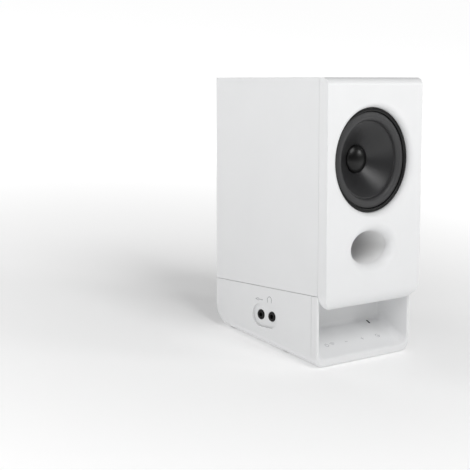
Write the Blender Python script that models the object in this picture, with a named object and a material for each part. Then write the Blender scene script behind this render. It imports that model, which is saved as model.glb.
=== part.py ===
"""Powered desktop bookshelf speaker that leans back on a wedge-shaped base.

The enclosure is modelled in the cabinet's own frame: x runs across, y runs from the face of the
front baffle (0) towards the back, and z runs down from the top (0). One empty leans that frame
back and stands it on the floor, so that the model's origin is the middle of its footprint.
"""

import math

import bmesh
import bpy
from mathutils import Matrix, Vector

# ---- overall sizes (metres) -------------------------------------------------------------------
CABINET_WIDTH = 0.1000
CABINET_DEPTH = 0.1250
CABINET_HEIGHT = 0.1583
BASE_FRONT_HEIGHT = 0.0537
LEAN = math.radians(8.15)

# ---- walls, gaps and clearances ---------------------------------------------------------------
GAP = 0.0003
RUN_CLEARANCE = 0.0005
SLEEVE_WALL = 0.0060
HOUSING_WALL = 0.0017
HOUSING_FLOOR = 0.0022
TRAY_WALL = 0.0010
TRAY_FLOOR = 0.0020
BOARD_THICKNESS = 0.0016

# ---- front baffle -----------------------------------------------------------------------------
BAFFLE_DEPTH = 0.0087
BAFFLE_DROP = 0.0112
BAFFLE_TOP_RADIUS = 0.0060
CHIN_RADIUS = 0.0118
CHIN_SIDE_RADIUS = 0.0140
RIM_DEPTH = 0.0040
RIM_WALL = 0.0030

# ---- driver (shares are of the cabinet's height, or of the driver ring's radius) ---------------
DRIVER_DROP_SHARE = 0.3834
DRIVER_HEIGHT_SHARE = 0.2451
DRIVER_SIDE_MARGIN = 0.0052
RING_BAND = 0.0027
RING_SETBACK = 0.0051
DISH_ROLL = 0.0062
FLANGE_OVERLAP = 0.0046
FLANGE_THICKNESS = 0.0020
GASKET_THICKNESS = 0.0008
GASKET_BAND = 0.0042
ROLL_WIDTH = 0.0071
CONE_DEPTH_SHARE = 0.327
CONE_THICKNESS = 0.0007
CAP_HEIGHT = 0.0052
COIL_SHARE = 0.275
FORMER_WALL = 0.0003
WIRE_BUILD = 0.0006
FORMER_LENGTH = 0.0160
WINDING_LENGTH = 0.0080
CONE_TRAVEL = 0.0030
SPIDER_SHARE = 0.63
TOP_PLATE_SHARE = 0.67
TOP_PLATE_THICKNESS = 0.0040
MAGNET_SHARE = 0.775
MAGNET_THICKNESS = 0.0100
YOKE_THICKNESS = 0.0040

# ---- port -------------------------------------------------------------------------------------
PORT_DROP_SHARE = 0.796
PORT_WIDTH_SHARE = 0.203
PORT_HEIGHT_SHARE = 0.0783
PORT_FLARE_SHARE = 0.0518
PORT_LENGTH = 0.0480
PORT_WALL = 0.0018

# ---- base -------------------------------------------------------------------------------------
BASE_SETBACK = 0.0090
FRAME_DEPTH = 0.0064
BASE_CORNER_RADIUS = 0.0076
BASE_REAR_RADIUS = 0.0090
LIP_RADIUS = 0.0024
NICHE_DEPTH = 0.0315
NICHE_LIP_HEIGHT = 0.0060
NICHE_SLOPE = math.radians(27.0)
NICHE_RIM = 0.0025
NICHE_CORNER_RADIUS = 0.0052
FOOT_HEIGHT = 0.0008
FOOT_RADIUS = 0.0050

# ---- sockets and electronics ------------------------------------------------------------------
JACK_SETBACK = 0.0264
JACK_DROP_SHARE = 0.421
JACK_PITCH = 0.0125
JACK_RADIUS = 0.0037
JACK_BORE = 0.0018
JACK_RECESS_LENGTH = 0.0290
JACK_RECESS_SHARE = 0.335
BEZEL_THICKNESS = 0.0015
JACK_LENGTH = 0.0130
CONNECTOR_WIDTH_SHARE = 0.64
CONNECTOR_HEIGHT_SHARE = 0.372
CONNECTOR_DROP_SHARE = 0.307
CONNECTOR_PLATE_THICKNESS = 0.0020
LINK_SOCKET_RADIUS = 0.0050
INLET_RADIUS = 0.0052
USB_WIDTH = 0.0089
USB_HEIGHT = 0.0032
SCREW_SHANK = 0.0014
SCREW_HEAD = 0.0028
LEAD_RADIUS = 0.0009
BOARD_DROP_SHARE = 0.484

# ---- sizes worked out from those above --------------------------------------------------------
HALF_WIDTH = CABINET_WIDTH / 2
RING_RADIUS = min(HALF_WIDTH - SLEEVE_WALL - DRIVER_SIDE_MARGIN,
                  DRIVER_HEIGHT_SHARE * CABINET_HEIGHT)
DISH_RADIUS = RING_RADIUS + DISH_ROLL
FLANGE_RADIUS = RING_RADIUS + FLANGE_OVERLAP
CONE_DEPTH = CONE_DEPTH_SHARE * RING_RADIUS
COIL_RADIUS = COIL_SHARE * RING_RADIUS
SPIDER_RADIUS = SPIDER_SHARE * RING_RADIUS
TOP_PLATE_RADIUS = TOP_PLATE_SHARE * RING_RADIUS
MAGNET_RADIUS = MAGNET_SHARE * RING_RADIUS
PORT_HALF_WIDTH = PORT_WIDTH_SHARE * CABINET_WIDTH
PORT_HALF_HEIGHT = PORT_HEIGHT_SHARE * CABINET_HEIGHT
PORT_FLARE = PORT_FLARE_SHARE * CABINET_HEIGHT
SLEEVE_FRONT = BAFFLE_DEPTH + GAP
BASE_TOP = -CABINET_HEIGHT - GAP
UNDERSIDE_SLOPE = math.tan(LEAN)
BASE_FRONT_BOTTOM = -CABINET_HEIGHT - BASE_FRONT_HEIGHT
FRAME_BACK = BASE_SETBACK + FRAME_DEPTH
DRIVER_Z = -DRIVER_DROP_SHARE * CABINET_HEIGHT
PORT_Z = -PORT_DROP_SHARE * CABINET_HEIGHT
FLANGE_FRONT = BAFFLE_DEPTH + GAP + GASKET_THICKNESS + GAP
FLANGE_BACK = FLANGE_FRONT + FLANGE_THICKNESS
ROLL_OUTER = RING_RADIUS - RING_BAND
ROLL_INNER = ROLL_OUTER - ROLL_WIDTH
CONE_RIM = FLANGE_FRONT - GAP
CONE_RADIUS = ROLL_INNER - GAP
CONE_BACK = CONE_RIM + CONE_DEPTH
FORMER_OUTER = COIL_RADIUS + FORMER_WALL
COIL_OUTER = FORMER_OUTER + GAP / 3 + WIRE_BUILD
FORMER_FRONT = CONE_BACK - CONE_THICKNESS
FORMER_BACK = FORMER_FRONT + FORMER_LENGTH
TOP_PLATE_FRONT = FORMER_BACK - WINDING_LENGTH / 2 - TOP_PLATE_THICKNESS / 2
TOP_PLATE_BACK = TOP_PLATE_FRONT + TOP_PLATE_THICKNESS
MAGNET_FRONT = TOP_PLATE_BACK + GAP
MAGNET_BACK = MAGNET_FRONT + MAGNET_THICKNESS
YOKE_FRONT = MAGNET_BACK + GAP
YOKE_BACK = YOKE_FRONT + YOKE_THICKNESS
BASKET_PLATE_BACK = TOP_PLATE_FRONT - GAP
BASKET_PLATE_FRONT = BASKET_PLATE_BACK - FLANGE_THICKNESS
SPIDER_SEAT = BASKET_PLATE_FRONT - 0.0035
NICHE_BACK = BASE_SETBACK + NICHE_DEPTH
JACK_DEPTH_FROM_FACE = NICHE_BACK + JACK_SETBACK
JACK_RECESS_HEIGHT = JACK_RECESS_SHARE * BASE_FRONT_HEIGHT
JACK_Z = -CABINET_HEIGHT - JACK_DROP_SHARE * BASE_FRONT_HEIGHT
WALL_INSIDE = HALF_WIDTH - HOUSING_WALL
BOARD_WIDTH = 2 * (WALL_INSIDE - JACK_LENGTH - GAP)
CONNECTOR_PLATE_WIDTH = CONNECTOR_WIDTH_SHARE * CABINET_WIDTH
BOARD_TOP = -CABINET_HEIGHT - BOARD_DROP_SHARE * BASE_FRONT_HEIGHT
BOARD_FRONT = NICHE_BACK + 0.0150
BOARD_BACK = CABINET_DEPTH - 0.0070
BOARD_LENGTH = BOARD_BACK - BOARD_FRONT
SOCKET_Z = -CABINET_HEIGHT - CONNECTOR_DROP_SHARE * BASE_FRONT_HEIGHT
CONNECTOR_PLATE_HEIGHT = CONNECTOR_HEIGHT_SHARE * BASE_FRONT_HEIGHT
INLET_X = -0.20 * CABINET_WIDTH
LINK_X = 0.03 * CABINET_WIDTH
USB_X = 0.22 * CABINET_WIDTH
BASE_SCREWS = [(side * (HALF_WIDTH - 0.0090), depth) for side in (-1, 1)
               for depth in (NICHE_BACK + 0.0095, CABINET_DEPTH - 0.0130)]
SCREW_SEAT = BASE_TOP - 0.0040
GROMMET_PLACE = (0.30 * CABINET_WIDTH, BOARD_FRONT + 0.472 * BOARD_LENGTH)
GROMMET_RADIUS = 0.0050
ROUND_STEPS = 30
SMALL_STEPS = 10
ARC_STEPS = 5


# ---- helpers ----------------------------------------------------------------------------------
def clear_scene():
    for piece in list(bpy.data.objects):
        bpy.data.objects.remove(piece, do_unlink=True)


def finish(name, colour, roughness, metallic=0.0):
    """A Principled material; colour is linear RGB."""
    material = bpy.data.materials.new(name)
    material.use_nodes = True
    shader = material.node_tree.nodes["Principled BSDF"]
    shader.inputs["Base Color"].default_value = (*colour, 1.0)
    shader.inputs["Roughness"].default_value = roughness
    shader.inputs["Metallic"].default_value = metallic
    material.diffuse_color = (*colour, 1.0)
    return material


def empty(name, parent=None, location=(0, 0, 0), tilt=0.0):
    place = bpy.data.objects.new(name, None)
    bpy.context.scene.collection.objects.link(place)
    place.parent = parent
    place.location = location
    place.rotation_euler = (tilt, 0, 0)
    return place


def make_object(name, bm, material, parent, location=(0, 0, 0), rotation=(0, 0, 0)):
    """Turn a bmesh into a named piece with its faces pointing out and its round parts smooth."""
    bmesh.ops.recalc_face_normals(bm, faces=bm.faces)
    if bm.calc_volume(signed=True) < 0:
        bmesh.ops.reverse_faces(bm, faces=bm.faces)
    mesh = bpy.data.meshes.new(name)
    bm.to_mesh(mesh)
    bm.free()
    if material is not None:
        mesh.materials.append(material)
    mesh.shade_smooth()
    mesh.set_sharp_from_angle(angle=math.radians(35))
    piece = bpy.data.objects.new(name, mesh)
    bpy.context.scene.collection.objects.link(piece)
    piece.parent = parent
    piece.location = location
    piece.rotation_euler = rotation
    return piece


def skin(rings, closed=False):
    """Skin rings that all have the same number of points, with end caps or closed on itself."""
    bm = bmesh.new()
    rows = [[bm.verts.new(point) for point in ring] for ring in rings]
    count = len(rows[0])
    pairs = list(zip(rows, rows[1:]))
    if closed:
        pairs.append((rows[-1], rows[0]))
    else:
        bm.faces.new(rows[0])
        bm.faces.new(rows[-1])
    for near, far in pairs:
        for i in range(count):
            j = (i + 1) % count
            bm.faces.new((near[i], near[j], far[j], far[i]))
    return bm


def arc_outline(corners):
    """Closed outline through (u, v, radius) corners, each rounded by its radius."""
    outline = []
    total = len(corners)
    for i, (u, v, radius) in enumerate(corners):
        here = Vector((u, v))
        if radius <= 0:
            outline.append(here)
            continue
        to_last = (Vector(corners[i - 1][:2]) - here).normalized()
        to_next = (Vector(corners[(i + 1) % total][:2]) - here).normalized()
        half = to_last.angle(to_next) / 2
        reach = radius / math.tan(half)
        middle = here + (to_last + to_next).normalized() * radius / math.sin(half)
        start = here + to_last * reach - middle
        end = here + to_next * reach - middle
        sweep = start.angle_signed(end)
        for step in range(ARC_STEPS + 1):
            outline.append(middle + Matrix.Rotation(-sweep * step / ARC_STEPS, 2) @ start)
    return outline


def plate_across(outline, low, high):
    """Extrude a (y, z) outline along x."""
    return skin([[(x, u, v) for u, v in outline] for x in (low, high)])


def plate_along(outline, low, high):
    """Extrude an (x, z) outline along y."""
    return skin([[(u, y, v) for u, v in outline] for y in (low, high)])


def plate_up(outline, low, high):
    """Extrude an (x, y) outline along z."""
    return skin([[(u, v, z) for u, v in outline] for z in (low, high)])


def rectangle(width, height, radius=0.0, centre=(0.0, 0.0)):
    u, v = centre
    signs = ((-1, -1), (1, -1), (1, 1), (-1, 1))
    return arc_outline([(u + a * width / 2, v + b * height / 2, radius) for a, b in signs])


def block(low, high):
    """Box between two corners."""
    (x0, y0, z0), (x1, y1, z1) = low, high
    return plate_along([(x0, z0), (x1, z0), (x1, z1), (x0, z1)], y0, y1)


def ellipse(half_width, half_height, y, steps):
    turns = [2 * math.pi * i / steps for i in range(steps)]
    return [(half_width * math.cos(t), y, half_height * math.sin(t)) for t in turns]


def turned(profile, steps=ROUND_STEPS):
    """Ring-shaped solid: a closed (radius, y) profile swept round the y axis."""
    return skin([ellipse(radius, radius, y, steps) for radius, y in profile], closed=True)


def turned_solid(profile, steps=ROUND_STEPS):
    """Solid with flat round ends: an open (radius, y) profile swept round the y axis."""
    return skin([ellipse(radius, radius, y, steps) for radius, y in profile])


def rod(radius, low, high, steps=SMALL_STEPS):
    """Round bar along y."""
    return turned_solid([(radius, low), (radius, high)], steps)


def cutter(name, bm, parent, location=(0, 0, 0), rotation=(0, 0, 0)):
    helper = make_object(name, bm, None, parent, location, rotation)
    helper.hide_render = True
    helper.display_type = "WIRE"
    return helper


def combine(piece, helper, operation):
    modifier = piece.modifiers.new(operation.title() + " " + helper.name, "BOOLEAN")
    modifier.operation = operation
    modifier.object = helper
    modifier.solver = "EXACT"


# ---- shared shapes of the base ----------------------------------------------------------------
def underside(y):
    """Height of the base's flat underside at depth y."""
    return BASE_FRONT_BOTTOM + (y - BASE_SETBACK) * UNDERSIDE_SLOPE


def quarter_rise(distance, radius):
    """How far a rounded edge stands off its face, this far in from the edge."""
    inside = max(0.0, radius - distance)
    return radius - math.sqrt(radius * radius - inside * inside)


def base_bottom(y):
    """Underside with its rounded front lip and rounded rear edge."""
    front = quarter_rise(y - BASE_SETBACK, LIP_RADIUS)
    rear = quarter_rise(CABINET_DEPTH - y, BASE_REAR_RADIUS)
    return underside(y) + front + rear


def tub_ring(y, half_width, bottom, radius, top):
    """U-shaped section: open corners at the top, rounded corners at the bottom."""
    corners = [(-half_width, top, 0), (-half_width, bottom, radius),
               (half_width, bottom, radius), (half_width, top, 0)]
    return [(x, y, z) for x, z in arc_outline(corners)]


def niche_floor(y):
    """Height of the sloping floor of the niche at depth y."""
    lip = BASE_FRONT_BOTTOM + NICHE_LIP_HEIGHT
    return lip + (y - BASE_SETBACK) * math.tan(NICHE_SLOPE)


# ---- enclosure --------------------------------------------------------------------------------
def cabinet_sleeve(frame, paint):
    outer = (CABINET_WIDTH, CABINET_HEIGHT)
    inner = (CABINET_WIDTH - 2 * SLEEVE_WALL, CABINET_HEIGHT - 2 * SLEEVE_WALL)
    middle = (0.0, -CABINET_HEIGHT / 2)
    rings = []
    for size, y in ((outer, SLEEVE_FRONT), (outer, CABINET_DEPTH),
                    (inner, CABINET_DEPTH), (inner, SLEEVE_FRONT)):
        rings.append([(x, y, z) for x, z in rectangle(*size, centre=middle)])
    sleeve = make_object("cabinet_sleeve", skin(rings, closed=True), paint, frame)
    for i, (x, z) in enumerate(back_screw_places()):
        side = math.copysign(1, x)
        above = 1 if z > middle[1] else -1
        wall_x = side * (HALF_WIDTH - SLEEVE_WALL / 2)
        wall_z = middle[1] + above * (CABINET_HEIGHT - SLEEVE_WALL) / 2
        low = (min(wall_x, x - side * 0.005), CABINET_DEPTH - 0.021, min(wall_z, z - above * 0.005))
        high = (max(wall_x, x - side * 0.005), back_panel_front() - GAP,
                max(wall_z, z - above * 0.005))
        combine(sleeve, cutter(f"corner_block_{i}", block(low, high), frame), "UNION")
        hole = rod(SCREW_SHANK + GAP, CABINET_DEPTH - 0.018, CABINET_DEPTH)
        combine(sleeve, cutter(f"panel_pilot_{i}", hole, frame, (x, 0, z)), "DIFFERENCE")
    upright = (math.pi / 2, 0, 0)
    for i, (x, y) in enumerate(BASE_SCREWS):
        hole = rod(SCREW_SHANK + GAP, -0.010, 0.010)
        place = (x, y, -CABINET_HEIGHT)
        combine(sleeve, cutter(f"base_pilot_{i}", hole, frame, place, upright), "DIFFERENCE")
    place = (*GROMMET_PLACE, -CABINET_HEIGHT)
    hole = rod(GROMMET_RADIUS, -0.015, 0.015)
    combine(sleeve, cutter("grommet_hole", hole, frame, place, upright), "DIFFERENCE")


def baffle_profile():
    """Side view (y, z) of the baffle: rounded top edge and a chin that curls under."""
    top = [(quarter_rise(BAFFLE_TOP_RADIUS * (1 - math.sin(a)), BAFFLE_TOP_RADIUS),
            -BAFFLE_TOP_RADIUS * (1 - math.sin(a)))
           for a in (math.pi / 2 * i / ARC_STEPS for i in range(ARC_STEPS + 1))]
    bottom = -CABINET_HEIGHT - BAFFLE_DROP
    last = math.acos(max(0.0, 1 - BAFFLE_DEPTH / CHIN_RADIUS))
    steps = ARC_STEPS + 3
    chin = [(CHIN_RADIUS * (1 - math.cos(a)), bottom + CHIN_RADIUS * (1 - math.sin(a)))
            for a in (last * i / steps for i in range(steps + 1))]
    return [(BAFFLE_DEPTH, 0.0)] + top[::-1] + chin


def front_baffle(frame, driver_axis, paint):
    overlap = 0.002
    baffle = make_object("front_baffle", plate_across(baffle_profile(), -HALF_WIDTH - overlap,
                                                      HALF_WIDTH + overlap), paint, frame)
    bottom = -CABINET_HEIGHT - BAFFLE_DROP
    outline = arc_outline([(-HALF_WIDTH, overlap, 0), (-HALF_WIDTH, bottom, CHIN_SIDE_RADIUS),
                           (HALF_WIDTH, bottom, CHIN_SIDE_RADIUS), (HALF_WIDTH, overlap, 0)])
    front_view = plate_along(outline, -overlap, BAFFLE_DEPTH + overlap)
    combine(baffle, cutter("baffle_outline", front_view, frame), "INTERSECT")
    add_locating_rim(baffle, frame)
    combine(baffle, cutter("driver_dish", dish_shape(), driver_axis), "DIFFERENCE")
    combine(baffle, cutter("port_mouth", port_mouth_shape(), frame, (0, 0, PORT_Z)), "DIFFERENCE")


def rim_rectangle(inset):
    width = CABINET_WIDTH - 2 * (SLEEVE_WALL + GAP + inset)
    height = CABINET_HEIGHT - 2 * (SLEEVE_WALL + GAP + inset)
    return rectangle(width, height, centre=(0.0, -CABINET_HEIGHT / 2))


def add_locating_rim(baffle, frame):
    """Low wall behind the baffle that drops inside the sleeve."""
    root = BAFFLE_DEPTH - 0.002
    tip = BAFFLE_DEPTH + RIM_DEPTH
    rings = []
    for inset, y in ((0.0, root), (0.0, tip), (RIM_WALL, tip), (RIM_WALL, root)):
        rings.append([(x, y, z) for x, z in rim_rectangle(inset)])
    rim = cutter("locating_rim", skin(rings, closed=True), frame)
    combine(baffle, rim, "UNION")
    notch = rod(FLANGE_RADIUS + RUN_CLEARANCE, BAFFLE_DEPTH + GAP / 2, tip + 0.002, ROUND_STEPS)
    combine(baffle, cutter("flange_notch", notch, frame, (0, 0, DRIVER_Z)), "DIFFERENCE")


def dish_shape():
    """Shallow rolled dish that leads from the face of the baffle to the driver's ring."""
    hole = RING_RADIUS + GAP
    roll = DISH_RADIUS - hole
    profile = [(DISH_RADIUS + roll * 0.35, -0.002)]
    for i in range(ARC_STEPS + 2):
        a = math.pi / 2 * i / (ARC_STEPS + 1)
        profile.append((DISH_RADIUS - roll * math.sin(a), RING_SETBACK * (1 - math.cos(a))))
    profile.append((hole, BAFFLE_DEPTH + 0.002))
    return turned_solid(profile, ROUND_STEPS + 12)


def port_mouth_shape():
    """Trumpet-shaped oval mouth of the port."""
    rings = [ellipse(PORT_HALF_WIDTH + PORT_FLARE, PORT_HALF_HEIGHT + PORT_FLARE, -0.002,
                     ROUND_STEPS)]
    for i in range(ARC_STEPS + 1):
        a = math.pi / 2 * i / ARC_STEPS
        spread = PORT_FLARE * (1 - math.sin(a))
        rings.append(ellipse(PORT_HALF_WIDTH + spread, PORT_HALF_HEIGHT + spread,
                             PORT_FLARE * (1 - math.cos(a)), ROUND_STEPS))
    rings.append(ellipse(PORT_HALF_WIDTH, PORT_HALF_HEIGHT, BAFFLE_DEPTH + 0.002, ROUND_STEPS))
    return skin(rings)


def port_tube(frame, plastic):
    """Oval duct with a flange glued behind the baffle and a flared inner end."""
    front = BAFFLE_DEPTH + GAP
    back = front + PORT_LENGTH
    flare = 0.0040
    stations = ((0.0, front), (PORT_WALL + 0.0025, front), (PORT_WALL + 0.0025, front + 0.002),
                (PORT_WALL, front + 0.002), (PORT_WALL, back - 0.006),
                (PORT_WALL + flare, back), (flare, back), (0.0, back - 0.006))
    rings = [ellipse(PORT_HALF_WIDTH + grow, PORT_HALF_HEIGHT + grow, y, ROUND_STEPS)
             for grow, y in stations]
    make_object("port_tube", skin(rings, closed=True), plastic, frame, (0, 0, PORT_Z))


def back_panel_front():
    return CABINET_DEPTH - SLEEVE_WALL


def back_screw_places():
    inset = SLEEVE_WALL + 0.0055
    return [(side * (HALF_WIDTH - inset), z) for side in (-1, 1)
            for z in (-inset, inset - CABINET_HEIGHT)]


def back_panel(frame, paint):
    width = CABINET_WIDTH - 2 * (SLEEVE_WALL + GAP)
    height = CABINET_HEIGHT - 2 * (SLEEVE_WALL + GAP)
    outline = rectangle(width, height, centre=(0.0, -CABINET_HEIGHT / 2))
    panel = make_object("back_panel", plate_along(outline, back_panel_front(), CABINET_DEPTH),
                        paint, frame)
    for i, (x, z) in enumerate(back_screw_places()):
        sink = turned_solid([(SCREW_SHANK + GAP, back_panel_front() - 0.001),
                             (SCREW_SHANK + GAP, CABINET_DEPTH - 0.0022),
                             (SCREW_HEAD + GAP, CABINET_DEPTH - 0.0020),
                             (SCREW_HEAD + GAP, CABINET_DEPTH + 0.001)], SMALL_STEPS)
        combine(panel, cutter(f"panel_hole_{i}", sink, frame, (x, 0, z)), "DIFFERENCE")


def damping_pad(frame, foam):
    """Foam sheet on the inside of the back panel."""
    width = CABINET_WIDTH - 2 * (SLEEVE_WALL + 0.012)
    height = CABINET_HEIGHT - 2 * (SLEEVE_WALL + 0.012)
    back = back_panel_front() - GAP
    outline = rectangle(width, height, 0.003, (0.0, -CABINET_HEIGHT / 2))
    make_object("damping_pad", plate_along(outline, back - 0.012, back), foam, frame)


def screw(name, length, parent, location, rotation, metal):
    """Pan-head screw whose head sits above y = 0 and whose shank runs along +y."""
    head = 0.0017
    profile = [(SCREW_HEAD * 0.6, -head), (SCREW_HEAD, -head * 0.6), (SCREW_HEAD, 0.0),
               (SCREW_SHANK, 0.0), (SCREW_SHANK, length - 0.0012), (SCREW_SHANK * 0.3, length)]
    make_object(name, turned_solid(profile, SMALL_STEPS), metal, parent, location, rotation)


# ---- driver -----------------------------------------------------------------------------------
def driver_trim_ring(axis, plastic):
    inner = RING_RADIUS - RING_BAND
    front = RING_SETBACK
    back = BAFFLE_DEPTH
    profile = [(inner + 0.0006, front), (RING_RADIUS - 0.0004, front), (RING_RADIUS, front + 0.0004),
               (RING_RADIUS, back), (inner, back), (inner, front + 0.0012)]
    make_object("driver_trim_ring", turned(profile), plastic, axis)


def driver_gasket(axis, foam):
    inner = FLANGE_RADIUS - GASKET_BAND
    front = BAFFLE_DEPTH + GAP
    back = front + GASKET_THICKNESS
    profile = [(inner, front), (FLANGE_RADIUS, front), (FLANGE_RADIUS, back), (inner, back)]
    make_object("driver_gasket", turned(profile), foam, axis)


def driver_screw_places():
    reach = RING_RADIUS + GAP + SCREW_SHANK + 0.0008
    angles = [math.radians(45 + 90 * i) for i in range(4)]
    return [(reach * math.cos(a), reach * math.sin(a)) for a in angles]


def driver_basket(axis, metal):
    """Pressed frame: mounting flange, open cone-shaped sides and a plate for the magnet."""
    inner = ROLL_INNER + ROLL_WIDTH / 2
    seat = SPIDER_RADIUS + 0.0003
    ledge = SPIDER_SEAT + GAP + 0.0006
    throat = COIL_OUTER + RUN_CLEARANCE + CONE_TRAVEL / 2
    skin_wall = 0.0014
    profile = [(inner, FLANGE_FRONT), (FLANGE_RADIUS, FLANGE_FRONT), (FLANGE_RADIUS, FLANGE_BACK),
               (inner + skin_wall, FLANGE_BACK), (seat + 0.0035, ledge + skin_wall),
               (seat + 0.0010, BASKET_PLATE_BACK), (throat, BASKET_PLATE_BACK),
               (throat, BASKET_PLATE_FRONT), (seat - 0.0035, BASKET_PLATE_FRONT),
               (seat - 0.0035, ledge), (seat + 0.0022, ledge)]
    basket = make_object("driver_basket", turned(profile), metal, axis)
    window = block((-0.0105, FLANGE_BACK + 0.0022, 0.0), (0.0105, ledge - 0.0006, FLANGE_RADIUS))
    for i in range(4):
        helper = cutter(f"basket_window_{i}", window.copy(), axis,
                        rotation=(0, math.radians(90 * i), 0))
        combine(basket, helper, "DIFFERENCE")
    window.free()
    for i, (x, z) in enumerate(driver_screw_places()):
        hole = rod(SCREW_SHANK + GAP, FLANGE_FRONT - 0.001, FLANGE_BACK + 0.001)
        combine(basket, cutter(f"flange_hole_{i}", hole, axis, (x, 0, z)), "DIFFERENCE")


def driver_screw_pilots(baffle, axis):
    for i, (x, z) in enumerate(driver_screw_places()):
        hole = rod(SCREW_SHANK + GAP, BAFFLE_DEPTH - 0.0030, BAFFLE_DEPTH + 0.001)
        combine(baffle, cutter(f"baffle_pilot_{i}", hole, axis, (x, 0, z)), "DIFFERENCE")


def gasket_holes(gasket, axis):
    for i, (x, z) in enumerate(driver_screw_places()):
        hole = rod(SCREW_SHANK + GAP, BAFFLE_DEPTH - 0.001, FLANGE_FRONT + 0.001)
        combine(gasket, cutter(f"gasket_hole_{i}", hole, axis, (x, 0, z)), "DIFFERENCE")


def driver_screws(axis, metal):
    for i, (x, z) in enumerate(driver_screw_places()):
        screw(f"driver_screw_{i + 1}", 0.0052, axis, (x, FLANGE_BACK + GAP, z), (0, 0, math.pi),
              metal)


def cone_surround(axis, rubber):
    """Rubber half roll between the flange and the rim of the cone."""
    middle = (ROLL_OUTER - GAP + ROLL_INNER) / 2
    radius = (ROLL_OUTER - GAP - ROLL_INNER) / 2
    wall = 0.0006
    rise = FLANGE_FRONT - GAP - wall - RING_SETBACK - 0.0002
    steps = 6
    outside = []
    inside = []
    for i in range(steps + 1):
        a = math.pi * i / steps
        outside.append((middle + radius * math.cos(a),
                        FLANGE_FRONT - GAP - wall - rise * math.sin(a)))
        inside.append((middle + (radius - wall) * math.cos(a),
                       FLANGE_FRONT - GAP - (rise - wall / 2) * math.sin(a)))
    lip = ROLL_OUTER + 0.0020
    profile = [(lip, FLANGE_FRONT - GAP), (lip, FLANGE_FRONT - GAP - wall)]
    profile += outside + inside[::-1]
    make_object("cone_surround", turned(profile), rubber, axis)


def cone_line(share):
    """(radius, y) on the front of the cone, from its rim (0) to its neck (1)."""
    radius = CONE_RADIUS + (FORMER_OUTER + 0.0006 - CONE_RADIUS) * share
    return radius, CONE_RIM - 0.0010 + (CONE_DEPTH - CONE_THICKNESS) * share ** 1.12


def cone(moving, paper):
    steps = 4
    front = [cone_line(i / steps) for i in range(steps + 1)]
    back = [(radius, y + CONE_THICKNESS) for radius, y in front]
    make_object("cone", turned(front + back[::-1]), paper, moving)


def dust_cap(moving, plastic):
    """Domed cap over the end of the voice coil."""
    wall = 0.0006
    foot = FORMER_FRONT - GAP
    apex = 0.0004
    steps = 5
    outside = [(apex, foot - CAP_HEIGHT)]
    inside = [(apex, foot - CAP_HEIGHT + wall)]
    for i in range(1, steps + 1):
        a = math.pi / 2 * i / steps
        outside.append((FORMER_OUTER * math.sin(a), foot - CAP_HEIGHT * math.cos(a)))
        inside.append(((FORMER_OUTER - wall) * math.sin(a), foot - (CAP_HEIGHT - wall) * math.cos(a)))
    make_object("dust_cap", turned_solid(outside + inside[::-1]), plastic, moving)


def coil_former(moving, paper):
    profile = [(COIL_RADIUS, FORMER_FRONT), (FORMER_OUTER, FORMER_FRONT),
               (FORMER_OUTER, FORMER_BACK), (COIL_RADIUS, FORMER_BACK)]
    make_object("coil_former", turned(profile), paper, moving)


def voice_coil(moving, copper):
    inner = FORMER_OUTER + GAP / 3
    front = FORMER_BACK - WINDING_LENGTH
    profile = [(inner, front), (COIL_OUTER, front), (COIL_OUTER, FORMER_BACK), (inner, FORMER_BACK)]
    make_object("voice_coil", turned(profile), copper, moving)


def spider(axis, cloth):
    """Corrugated cloth disc that centres the coil."""
    inner = FORMER_OUTER + GAP
    outer = SPIDER_RADIUS
    waves = 3
    steps = waves * 4
    wall = 0.0004
    depth = 0.0009
    front = []
    for i in range(steps + 1):
        share = i / steps
        fade = min(1.0, 4 * share, 4 * (1 - share))
        y = SPIDER_SEAT - wall + depth * fade * math.sin(2 * math.pi * waves * share)
        front.append((inner + (outer - inner) * share, y))
    back = [(radius, y + wall) for radius, y in front]
    make_object("spider", turned(front + back[::-1], 24), cloth, axis)


def top_plate(axis, steel):
    bore = COIL_OUTER + RUN_CLEARANCE
    profile = [(bore, TOP_PLATE_FRONT), (TOP_PLATE_RADIUS, TOP_PLATE_FRONT),
               (TOP_PLATE_RADIUS, TOP_PLATE_BACK), (bore, TOP_PLATE_BACK)]
    make_object("top_plate", turned(profile), steel, axis)


def ring_magnet(axis, ferrite):
    bore = COIL_OUTER + RUN_CLEARANCE + 0.0010
    edge = 0.0006
    profile = [(bore, MAGNET_FRONT), (MAGNET_RADIUS - edge, MAGNET_FRONT),
               (MAGNET_RADIUS, MAGNET_FRONT + edge), (MAGNET_RADIUS, MAGNET_BACK - edge),
               (MAGNET_RADIUS - edge, MAGNET_BACK), (bore, MAGNET_BACK)]
    make_object("ring_magnet", turned(profile), ferrite, axis)


def pole_yoke(axis, steel):
    """Back plate and centre pole in one turned piece."""
    pole = COIL_RADIUS - RUN_CLEARANCE
    profile = [(pole - 0.0008, TOP_PLATE_FRONT), (pole, TOP_PLATE_FRONT + 0.0008),
               (pole, YOKE_FRONT), (TOP_PLATE_RADIUS, YOKE_FRONT), (TOP_PLATE_RADIUS, YOKE_BACK),
               (0.0040, YOKE_BACK), (0.0040, TOP_PLATE_FRONT)]
    make_object("pole_yoke", turned(profile), steel, axis)


def terminal_strip(axis, board):
    """Small tag board riveted to the side of the basket, with two solder tags."""
    left = MAGNET_RADIUS + 0.0008
    front = BASKET_PLATE_FRONT
    strip = make_object("terminal_strip", block((left, front, -0.0080),
                                                (left + 0.0012, front + 0.0090, 0.0080)),
                        board, axis)
    bridge = block((SPIDER_RADIUS + 0.0052, front, -0.0030), (left + 0.0006, front + 0.0012, 0.0030))
    combine(strip, cutter("strip_bridge", bridge, axis), "UNION")
    for i, z in enumerate((-0.0050, 0.0050)):
        tag = block((left + 0.0006, front + 0.0040, z - 0.0012),
                    (left + 0.0040, front + 0.0046, z + 0.0012))
        combine(strip, cutter(f"solder_tag_{i}", tag, axis), "UNION")


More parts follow.
